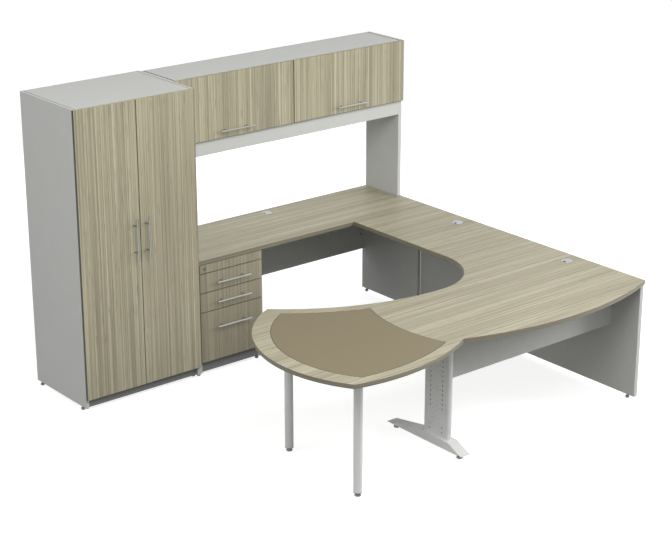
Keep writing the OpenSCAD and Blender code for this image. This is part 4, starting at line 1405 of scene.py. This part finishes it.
@dataclass
class Pedestal(Section):
    """Drawer pedestal with a lock, two box drawers and a file drawer (millimetres)."""

    box_left: float = 835.7
    box_right: float = 1238.3
    box_wall: float = 12.0
    rail_level: float = 359.6
    rail_y: Pair = (-530.0, -86.0)
    rail_beside: float = 0.7
    rail_drop: float = 14.0
    rail_sheet: float = 1.2
    lock: Point = (842.0, -566.0, 694.5)
    slot_half: Pair = (0.6, 3.6)
    slot_depths: Pair = (-1.0, 2.0)
    slot_rounding: float = 0.1
    screw_y: float = -536.0
    screw_in: float = 60.0
    screw_heights: tuple[tuple[Body, Pair], ...] = (
        (Body.DRAWER_TOP, (585.0, 630.0)),
        (Body.DRAWER_MIDDLE, (462.0, 507.0)),
        (Body.DRAWER_FILE, (150.0, 320.0)),
    )

    pieces = {
        "pedestal_carcass": ("pedestal_box", Stock.BOARD),
        "lock_rail": ("pedestal_lock_rail", "drawers"),
        "drawer_rails": ("cabinet_runner_channels", Stock.FITTING),
        **{
            f"drawer_{part}_{size}": (f"{title}_drawer_{word}", what)
            for size, title in (("top", "upper"), ("middle", "middle"), ("file", "file"))
            for part, word, what in (
                ("front", "front", "drawers"),
                ("box", "tray", Stock.TRAY),
                ("handle", "handle", Stock.LEVEL_HANDLE),
                ("runners", "runners", Stock.FITTING),
            )
        },
        "lock_housing": ("lock_ring", Stock.LOCK_RING),
        "lock_barrel": ("lock_barrel_with_key_slot", Stock.LOCK_BARREL),
    }

    def key_slot(self) -> None:
        """Cuts the key slot into the lock barrel."""
        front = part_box("lock_barrel")[0].y
        middle = plan(*self.lock)
        aside, up = (half * MM for half in self.slot_half)
        near, far = (front + depth * MM for depth in self.slot_depths)
        low = Vector((middle.x - aside, near, middle.z - up))
        high = Vector((middle.x + aside, far, middle.z + up))
        cut(self.made["lock_barrel"], block(low, high, self.slot_rounding * MM))

    def hanging_rails(self) -> None:
        """Folds the aluminium rails that the hanging files ride on."""
        front, rear = self.rail_y
        low = plan(self.box_left - self.rail_beside, front, self.rail_level)
        high = plan(self.box_left + self.box_wall + self.rail_beside, rear, self.rail_level)
        size = high - low
        rail = primitive("plane", (size.x, size.y, 1.0), size=1.0, location=(low + high) / 2)
        fold(
            rail,
            lambda edge: min(abs(middle_of(edge).x - x) for x in (low.x, high.x)) < NEAR,
            (0.0, 0.0, -self.rail_drop * MM),
            self.rail_sheet * MM,
        )
        round_edges(rail, Stock.FOLDED_RAIL.rounding)
        apart = (self.box_right - self.box_wall - self.box_left) * MM
        pair = moves_to((Vector((0.0, 0.0, 0.0)), Vector((apart, 0.0, 0.0))))
        self.add(repeat(rail, pair), "hanging_file_rails", Stock.FOLDED_RAIL, Body.DRAWER_FILE)

    def front_screws(self) -> None:
        """Screws the fronts to the trays from inside."""
        sides = (self.box_left + self.screw_in, self.box_right - self.screw_in)
        for body, heights in self.screw_heights:
            places = grid(sides, [self.screw_y], heights)
            seats = [(place, Facing.REAR) for place in places]
            self.drive(body.value + "_front_screws", seats, body)

    def fit_out(self) -> None:
        """Fits out the pedestal."""
        self.key_slot()
        self.hanging_rails()
        self.front_screws()


@dataclass
class Credenza(Section):
    """Worktop along the wall with its end panel and modesty panel (millimetres)."""

    modesty_front: float = -23.0
    cover_radius: float = 8.5
    cover_ends: Pair = (0.3, -0.9)
    cover_places: Pair = (1303.0, 2513.0)
    cover_heights: Pair = (420.0, 640.0)

    pieces = {
        "credenza_top": ("credenza_worktop", Stock.WORKTOP),
        "credenza_modesty": ("credenza_modesty_panel", Stock.BOARD),
        "credenza_gable": ("credenza_end_panel", Stock.BOARD),
    }

    def fit_out(self) -> None:
        """Covers the cams of the modesty panel."""
        foot, tip = (Vector((0.0, end * MM, 0.0)) for end in self.cover_ends)
        cover = rod(foot, tip, self.cover_radius * MM, Stock.MOULDING.rounding, sides=32)
        moves = moves_to(grid(self.cover_places, [self.modesty_front], self.cover_heights))
        self.add(repeat(cover, moves), "credenza_cam_covers", Stock.MOULDING)


@dataclass
class Hutch(Section):
    """Overhead cabinet with two flip-up doors (millimetres)."""

    hinge_places: tuple[float, ...] = (921.8, 1578.65, 1821.65, 2478.5)
    plate_height: float = 1774.2
    plate_y: float = -285.0
    plate_screw: float = 12.0
    cup_height: float = 1764.25
    cup_screw: float = 20.0
    flange_y: float = -324.4
    joint: Joint = Joint(7.0, 7.5)

    pieces = {
        "hutch_door_left": ("left_flip_door", "left_flip"),
        "hutch_door_right": ("right_flip_door", "right_flip"),
        "hutch_back": ("hutch_back_panel", Stock.BOARD),
        "hutch_valance": ("hutch_light_valance", Stock.BOARD),
        "hutch_uprights": ("hutch_side_panels", Stock.BOARD),
        "hutch_decks": ("hutch_top_and_floor", Stock.BOARD),
        "hutch_handle_left": ("left_flip_door_handle", Stock.LEVEL_HANDLE),
        "hutch_hinges_left": ("left_flip_door_hinge_cups", Stock.FITTING),
        "hutch_handle_right": ("right_flip_door_handle", Stock.LEVEL_HANDLE),
        "hutch_hinges_right": ("right_flip_door_hinge_cups", Stock.FITTING),
    }

    def fit_out(self) -> None:
        """Cuts the joints of the top board and screws the hinges."""
        self.top_joints("hutch_decks", "hutch_uprights", self.joint)
        places = either_side(self.hinge_places, self.plate_screw)
        plates = grid(places, [self.plate_y], [self.plate_height])
        self.drive("hutch_hinge_plate_screws", [(place, Facing.DOWN) for place in plates])
        places = either_side(self.hinge_places, self.cup_screw)
        cups = grid(places, [self.flange_y], [self.cup_height])
        half = len(cups) // 2
        self.screw_cups({Body.HUTCH_LEFT: cups[:half], Body.HUTCH_RIGHT: cups[half:]})


@dataclass
class Desk(Section):
    """Bridge and bow-front desk with the let-in writing pad (millimetres)."""

    gable_inner: float = 2572.0
    modesty_rear: float = -2213.0
    bracket_heights: Pair = (490.0, 650.0)
    bracket_leg: float = 36.0
    bracket_half: float = 22.0
    bracket_sheet: float = 2.0
    bracket_rounding: float = 0.6
    bracket_screw: float = 11.0
    plate_under: float = 722.0
    # Width in mm of the painted shadow round the writing pad.
    pad_rim: float = 2.6
    pad_area: float = 0.1
    seams: Pair = (-565.0, -1415.0)
    seam_plates: Pair = (2120.0, 2300.0)
    seam_steps_x: Pair = (14.0, 46.0)
    seam_steps_y: tuple[float, ...] = (-52.0, -18.0, 18.0, 52.0)
    post_ring: float = 46.0
    leg_steps_x: Pair = (-20.0, 20.0)
    leg_steps_y: tuple[float, ...] = (-220.0, -150.0, 150.0, 220.0)

    pieces = {
        "bridge_top": ("bridge_worktop", Stock.WORKTOP),
        "desk_top": ("desk_worktop", Stock.WORKTOP),
        "desk_pad": ("writing_pad", Stock.PAD),
        "bridge_gable": ("bridge_end_panel", Stock.BOARD),
        "desk_gable": ("desk_end_panel", Stock.BOARD),
        "desk_modesty": ("desk_modesty_panel", Stock.BOARD),
        "mounting_plates": ("steel_mounting_plates", Stock.BLACK_PLATE),
    }

    def trim_top(self) -> None:
        """Flattens what the rounding pushes past the CAD's right end back onto it."""
        limit = CAD_BOX[1][0]
        top = self.made["desk_top"]
        edit(top)
        pick(top, "verts", lambda vertex: vertex.co.x > limit)
        bpy.ops.transform.resize(value=(0.0, 1.0, 1.0), center_override=(limit, 0.0, 0.0))
        done()
        smooth(top)

    def shade_pad_outline(self) -> None:
        """Paints shadow round the writing pad's outline, where the groove round it is in shade."""
        pad = self.made["desk_pad"]
        edit(pad)
        pick(pad, "faces", lambda face: face.normal.z > FLAT)
        bpy.ops.mesh.dissolve_faces()
        bpy.ops.mesh.inset(thickness=self.pad_rim * MM)
        # Paints shadow on the rim and on the sides of the pad.
        self.paint(
            pad, "pad_rim", lambda face: face.normal.z < FLAT or face.calc_area() < self.pad_area
        )

    def plate_screws(self) -> None:
        """Screws the steel plates to the undersides of the worktops."""
        places = [
            (x + step_x, y + step_y)
            for y in self.seams
            for x in self.seam_plates
            for step_x in self.seam_steps_x
            for step_y in self.seam_steps_y
        ]
        quarters = [math.radians(45 + 90 * quarter) for quarter in range(4)]
        places += [
            (x + self.post_ring * math.cos(angle), y + self.post_ring * math.sin(angle))
            for x, y in POSTS
            for angle in quarters
        ]
        places += [
            (LEG[0] + aside, LEG[1] + along)
            for along in self.leg_steps_y
            for aside in self.leg_steps_x
        ]
        seats = [(plan(x, y, self.plate_under), Facing.DOWN) for x, y in places]
        self.drive("plate_screw_heads", seats, screw=Screw.PLATE)

    def bracket(self) -> Piece:
        """Folds an upright L with its corner at the origin and legs to the left and rear.

        Returns:
            The bracket.
        """
        leg, sheet = self.bracket_leg * MM, self.bracket_sheet * MM
        obj = primitive(
            "plane",
            (2 * self.bracket_half * MM, leg - sheet, 1.0),
            size=1.0,
            location=(-sheet / 2, leg / 2, 0.0),
            rotation=(0.0, math.pi / 2, 0.0),
        )
        corner = sheet / 2
        move = (sheet - leg, 0.0, 0.0)
        fold(obj, lambda edge: abs(middle_of(edge).y - corner) < NEAR, move, sheet)
        round_edges(obj, self.bracket_rounding * MM)
        return obj

    def brackets(self) -> None:
        """Brackets the modesty panel to the end panel behind it."""
        seats = []
        half, sheet = self.bracket_half, self.bracket_sheet
        for height in either_side(self.bracket_heights, self.bracket_screw):
            side = plan(self.gable_inner - sheet, self.modesty_rear + half, height)
            panel = plan(self.gable_inner - half, self.modesty_rear + sheet, height)
            seats += [(side, Facing.LEFT), (panel, Facing.REAR)]
        moves = moves_to(grid([self.gable_inner], [self.modesty_rear], self.bracket_heights))
        self.add(repeat(self.bracket(), moves), "desk_modesty_brackets", Stock.MOULDING)
        self.drive("desk_bracket_screws", seats)

    def fit_out(self) -> None:
        """Trims the top and fits out the bridge and the desk."""
        self.trim_top()
        self.shade_pad_outline()
        self.plate_screws()
        self.brackets()


@dataclass
class MetalLeg(Section):
    """Perforated metal leg on a pressed foot (millimetres)."""

    depth: float = 206.0
    thickness: float = 30.0
    weld_heights: Pair = (79.2, 720.8)
    bead: float = 1.8
    bead_degrees: float = 60.0
    bead_cuts: int = 48

    pieces = {
        "leg_column": ("leg_column_tube", Stock.COLUMN),
        "leg_foot": ("pressed_leg_foot", Stock.FOOT),
    }

    def weld(self) -> Piece:
        """Models one weld bead round the column, at the level of the floor.

        Returns:
            The bead.
        """
        half = (self.depth - self.thickness) / 2 * MM
        centre = plan(*LEG, 0.0)
        obj = primitive("circle", vertices=64, radius=self.thickness / 2 * MM, location=centre)
        for sign in (1, -1):
            pick(obj, "verts", lambda vertex: (vertex.co.y - centre.y) * sign > -NEAR)
            bpy.ops.transform.translate(value=(0.0, sign * half, 0.0))
        pick(obj, "edges", lambda edge: edge.calc_length() > half)
        bpy.ops.mesh.subdivide(number_cuts=self.bead_cuts)
        done()
        only(obj)
        bpy.ops.object.convert(target="CURVE")
        obj = bpy.context.active_object
        obj.data.bevel_depth = self.bead * MM
        obj.data.bevel_resolution = 3
        bpy.ops.object.convert(target="MESH")
        obj = bpy.context.active_object
        face_outwards(obj)
        smooth(obj, self.bead_degrees)
        return obj

    def fit_out(self) -> None:
        """Paints the leg's cover and welds the leg."""
        cover = frame["nodes"]["leg_cover"]
        cover.data.materials.clear()
        cover.data.materials.append(self.palette.finishes["silver"])
        LOG.info("painted leg_cover")
        lifts = moves_to(Vector((0.0, 0.0, height * MM)) for height in self.weld_heights)
        self.add(repeat(self.weld(), lifts), "leg_weld_beads", Stock.POST)


@dataclass
class Supports(Section):
    """Post legs and levelling glides (millimetres)."""

    post_radius: float = 24.0
    collar_play: float = 0.1
    collar_wide: float = 5.0
    collar_high: float = 4.6
    collar_level: float = 719.5
    collar_sides: int = 64
    collar_rounding: float = 0.552
    glides: tuple[Pair, ...] = (
        (12.5, -35.0), (12.5, -495.0), (787.5, -35.0), (787.5, -495.0),
        (817.5, -35.0), (817.5, -511.8), (1256.5, -35.0), (1256.5, -511.8),
        (2559.5, -35.0), (2559.5, -505.0),
        (2584.5, -600.3), (2584.5, -1354.7), (2584.5, -1450.0), (2584.5, -2380.0),
    )
    nut_low: float = 18.4
    nut_high: float = 24.0
    nut_radius: float = 6.6
    nut_face: float = 0.6
    nut_chamfer: float = 0.9
    nut_rounding: float = 0.35

    pieces = {
        "post_legs": ("round_post_legs", Stock.POST),
        "levelling_glides": ("glide_feet", Stock.GLIDE),
    }

    def nut(self) -> Piece:
        """Models one hexagonal lock nut with a raised face, at its height above the origin.

        Returns:
            The nut.
        """
        low, high = self.nut_low * MM, (self.nut_high - self.nut_face) * MM
        obj = primitive(
            "cylinder",
            vertices=6,
            radius=self.nut_radius * MM,
            depth=high - low,
            location=(0.0, 0.0, (low + high) / 2),
        )
        pick(obj, "faces", lambda face: face.normal.z > FLAT)
        bpy.ops.mesh.inset(thickness=self.nut_chamfer * MM)
        bpy.ops.mesh.extrude_region_move(
            TRANSFORM_OT_translate={"value": (0.0, 0.0, self.nut_face * MM)}
        )
        done()
        round_edges(obj, self.nut_rounding * MM)
        return obj

    def collar(self) -> Piece:
        """Models one flat ring round a post, with its middle at the origin.

        Returns:
            The ring.
        """
        obj = primitive(
            "cylinder",
            vertices=self.collar_sides,
            radius=(self.post_radius + self.collar_wide) * MM,
            depth=self.collar_high * MM,
            location=(0.0, 0.0, 0.0),
        )
        pick(obj, "faces", lambda face: abs(face.normal.z) > FLAT)
        width = (self.collar_wide - self.collar_play) * MM
        bpy.ops.mesh.inset(thickness=width, use_individual=True)
        bpy.ops.mesh.bridge_edge_loops()
        done()
        round_edges(obj, self.collar_rounding * MM, 3)
        return obj

    def fit_out(self) -> None:
        """Adds lock nuts to the glides and collars to the posts."""
        nuts = repeat(self.nut(), moves_to(plan(x, y, 0.0) for x, y in self.glides))
        self.add(nuts, "glide_lock_nuts", Stock.FITTING)
        moves = moves_to(plan(x, y, self.collar_level) for x, y in POSTS)
        self.add(repeat(self.collar(), moves), "post_collars", Stock.POST)


@dataclass
class CableOutlets(Section):
    """Round cable outlets in the worktops."""

    pieces = {
        "grommet_liners": ("cable_outlet_liners", Stock.LINER),
        "grommet_cap_credenza": ("credenza_outlet_cap", Stock.CAP),
        "grommet_cap_bridge": ("bridge_outlet_cap", Stock.CAP),
        "grommet_cap_desk": ("desk_outlet_cap", Stock.CAP),
    }


@dataclass(frozen=True)
class Softbox:
    """One square soft lamp; one that isn't mirrored leaves no glare on the tops."""

    name: str
    place: Point
    aim: Point
    size: float
    power: float
    mirrored: bool = True

    def hang(self) -> None:
        """Adds the lamp to the scene."""
        data = bpy.data.lights.new(self.name, "AREA")
        data.shape = "SQUARE"
        data.size = self.size
        data.energy = self.power
        lamp = bpy.data.objects.new(self.name, data)
        bpy.context.scene.collection.objects.link(lamp)
        lamp.location = self.place
        facing = Vector(self.aim) - Vector(self.place)
        lamp.rotation_euler = facing.to_track_quat("-Z", "Y").to_euler()
        lamp.visible_camera = False
        lamp.visible_glossy = self.mirrored


@dataclass
class Studio:
    """Plain pale floor, soft lights, pale surroundings and the camera (metres)."""

    camera_place: Point = (-6.0011, -7.2652, 4.1624)
    turn_degrees: float = 39.3565
    tilt_degrees: float = -19.6793
    lens_mm: float = 93.081
    sensor_mm: float = 36.0
    farthest: float = 200.0
    floor_half: float = 40.0
    floor_drop: float = 0.0005
    floor_matte: float = 0.45
    floor_glow: float = 0.80
    floor_bounce: float = 0.18
    walls_glow: tuple[Pair, ...] = (
        (0.0, 0.26), (0.30, 0.88), (0.66, 0.92), (0.80, 0.10)
    )
    lamps: tuple[Softbox, ...] = (
        Softbox("front_softbox", (-1.10, -3.31, 4.80), (0.0, -0.3, 0.7), 2.4, 172.0),
        Softbox("right_softbox", (5.20, -3.60, 3.05), (0.0, -0.3, 0.7), 2.4, 264.0, False),
        Softbox("left_softbox", (-4.50, 0.20, 2.60), (0.0, 0.2, 0.9), 2.4, 42.0),
        Softbox("back_softbox", (2.60, 5.00, 1.20), (0.0, 1.3, 0.9), 2.0, 80.0, False),
    )

    def two_looks(
        self, tree: bpy.types.NodeTree, plain: bpy.types.Node, shown: bpy.types.Node, kind: str
    ) -> None:
        """Lets the camera and reflections see one shader and all other light another.

        Args:
            tree: Tree of the shaders.
            plain: Shader for all other light.
            shown: Shader for the camera and reflections.
            kind: Type of the output node.
        """
        path = add_node(tree, "LightPath", {}).outputs
        rays = {0: path["Is Camera Ray"], 1: path["Is Glossy Ray"]}
        seen = add_node(tree, "Math", rays, operation="MAXIMUM").outputs[0]
        looks = {0: seen, 1: plain.outputs[0], 2: shown.outputs[0]}
        add_node(tree, kind, {0: add_node(tree, "MixShader", looks).outputs[0]})

    def floor(self) -> None:
        """Adds the floor: white to the camera where lit, darker to bounced light."""
        place = (0.0, 0.0, -self.floor_drop)
        plane = primitive("plane", size=2 * self.floor_half, location=place)
        done()
        plane.name = "studio_floor"
        material = bpy.data.materials.new("studio_floor")
        material.use_nodes = True
        tree = material.node_tree
        tree.nodes.clear()
        matte = add_node(tree, "BsdfDiffuse", {"Color": grey(self.floor_matte)})
        glow = add_node(tree, "Emission", {"Color": WHITE, "Strength": self.floor_glow})
        both = add_node(tree, "AddShader", {0: matte.outputs[0], 1: glow.outputs[0]})
        dull = add_node(tree, "BsdfDiffuse", {"Color": grey(self.floor_bounce)})
        self.two_looks(tree, dull, both, "OutputMaterial")
        plane.data.materials.append(material)

    def surroundings(self) -> None:
        """Makes the world: white to the camera and in reflections, plain light otherwise."""
        scene = bpy.context.scene
        world = bpy.data.worlds.new("studio_world")
        scene.world = world
        world.use_nodes = True
        tree = world.node_tree
        tree.nodes.clear()
        direction = add_node(tree, "TexCoord", {}).outputs["Generated"]
        height = add_node(tree, "SeparateXYZ", {0: direction}).outputs["Z"]
        glow = add_node(tree, "ValToRGB", {"Fac": height})
        set_stops(glow.color_ramp, [(place, grey(level)) for place, level in self.walls_glow])
        lighting = add_node(tree, "Background", {"Color": glow.outputs["Color"]})
        shown = add_node(tree, "Background", {"Color": WHITE})
        self.two_looks(tree, lighting, shown, "OutputWorld")
        scene.view_settings.view_transform = "Standard"

    def camera(self) -> None:
        """Places the camera at the photograph's viewing angle."""
        data = bpy.data.cameras.new("main_camera")
        data.sensor_fit = "HORIZONTAL"
        data.sensor_width = self.sensor_mm
        data.lens = self.lens_mm
        data.clip_end = self.farthest
        camera = bpy.data.objects.new("main_camera", data)
        bpy.context.scene.collection.objects.link(camera)
        turn, tilt = math.radians(self.turn_degrees), math.radians(self.tilt_degrees)
        level = math.cos(tilt)
        ahead = Vector((math.sin(turn) * level, math.cos(turn) * level, math.sin(tilt)))
        camera.location = self.camera_place
        camera.rotation_euler = ahead.to_track_quat("-Z", "Y").to_euler()
        bpy.context.scene.camera = camera

    def build(self) -> None:
        """Sets up the whole studio."""
        self.camera()
        self.surroundings()
        for lamp in self.lamps:
            lamp.hang()
        self.floor()


def main() -> None:
    """Builds the studio and every section in order."""
    logging.basicConfig(level=logging.INFO, format="%(name)s: %(message)s")
    Studio().build()
    palette, screws = Palette(), ScrewHeads()
    for section in (Wardrobe, Pedestal, Credenza, Hutch, Desk, MetalLeg, Supports, CableOutlets):
        LOG.info("section %s", section.__name__)
        section(palette, screws).build()


if __name__ == "__main__":
    main()
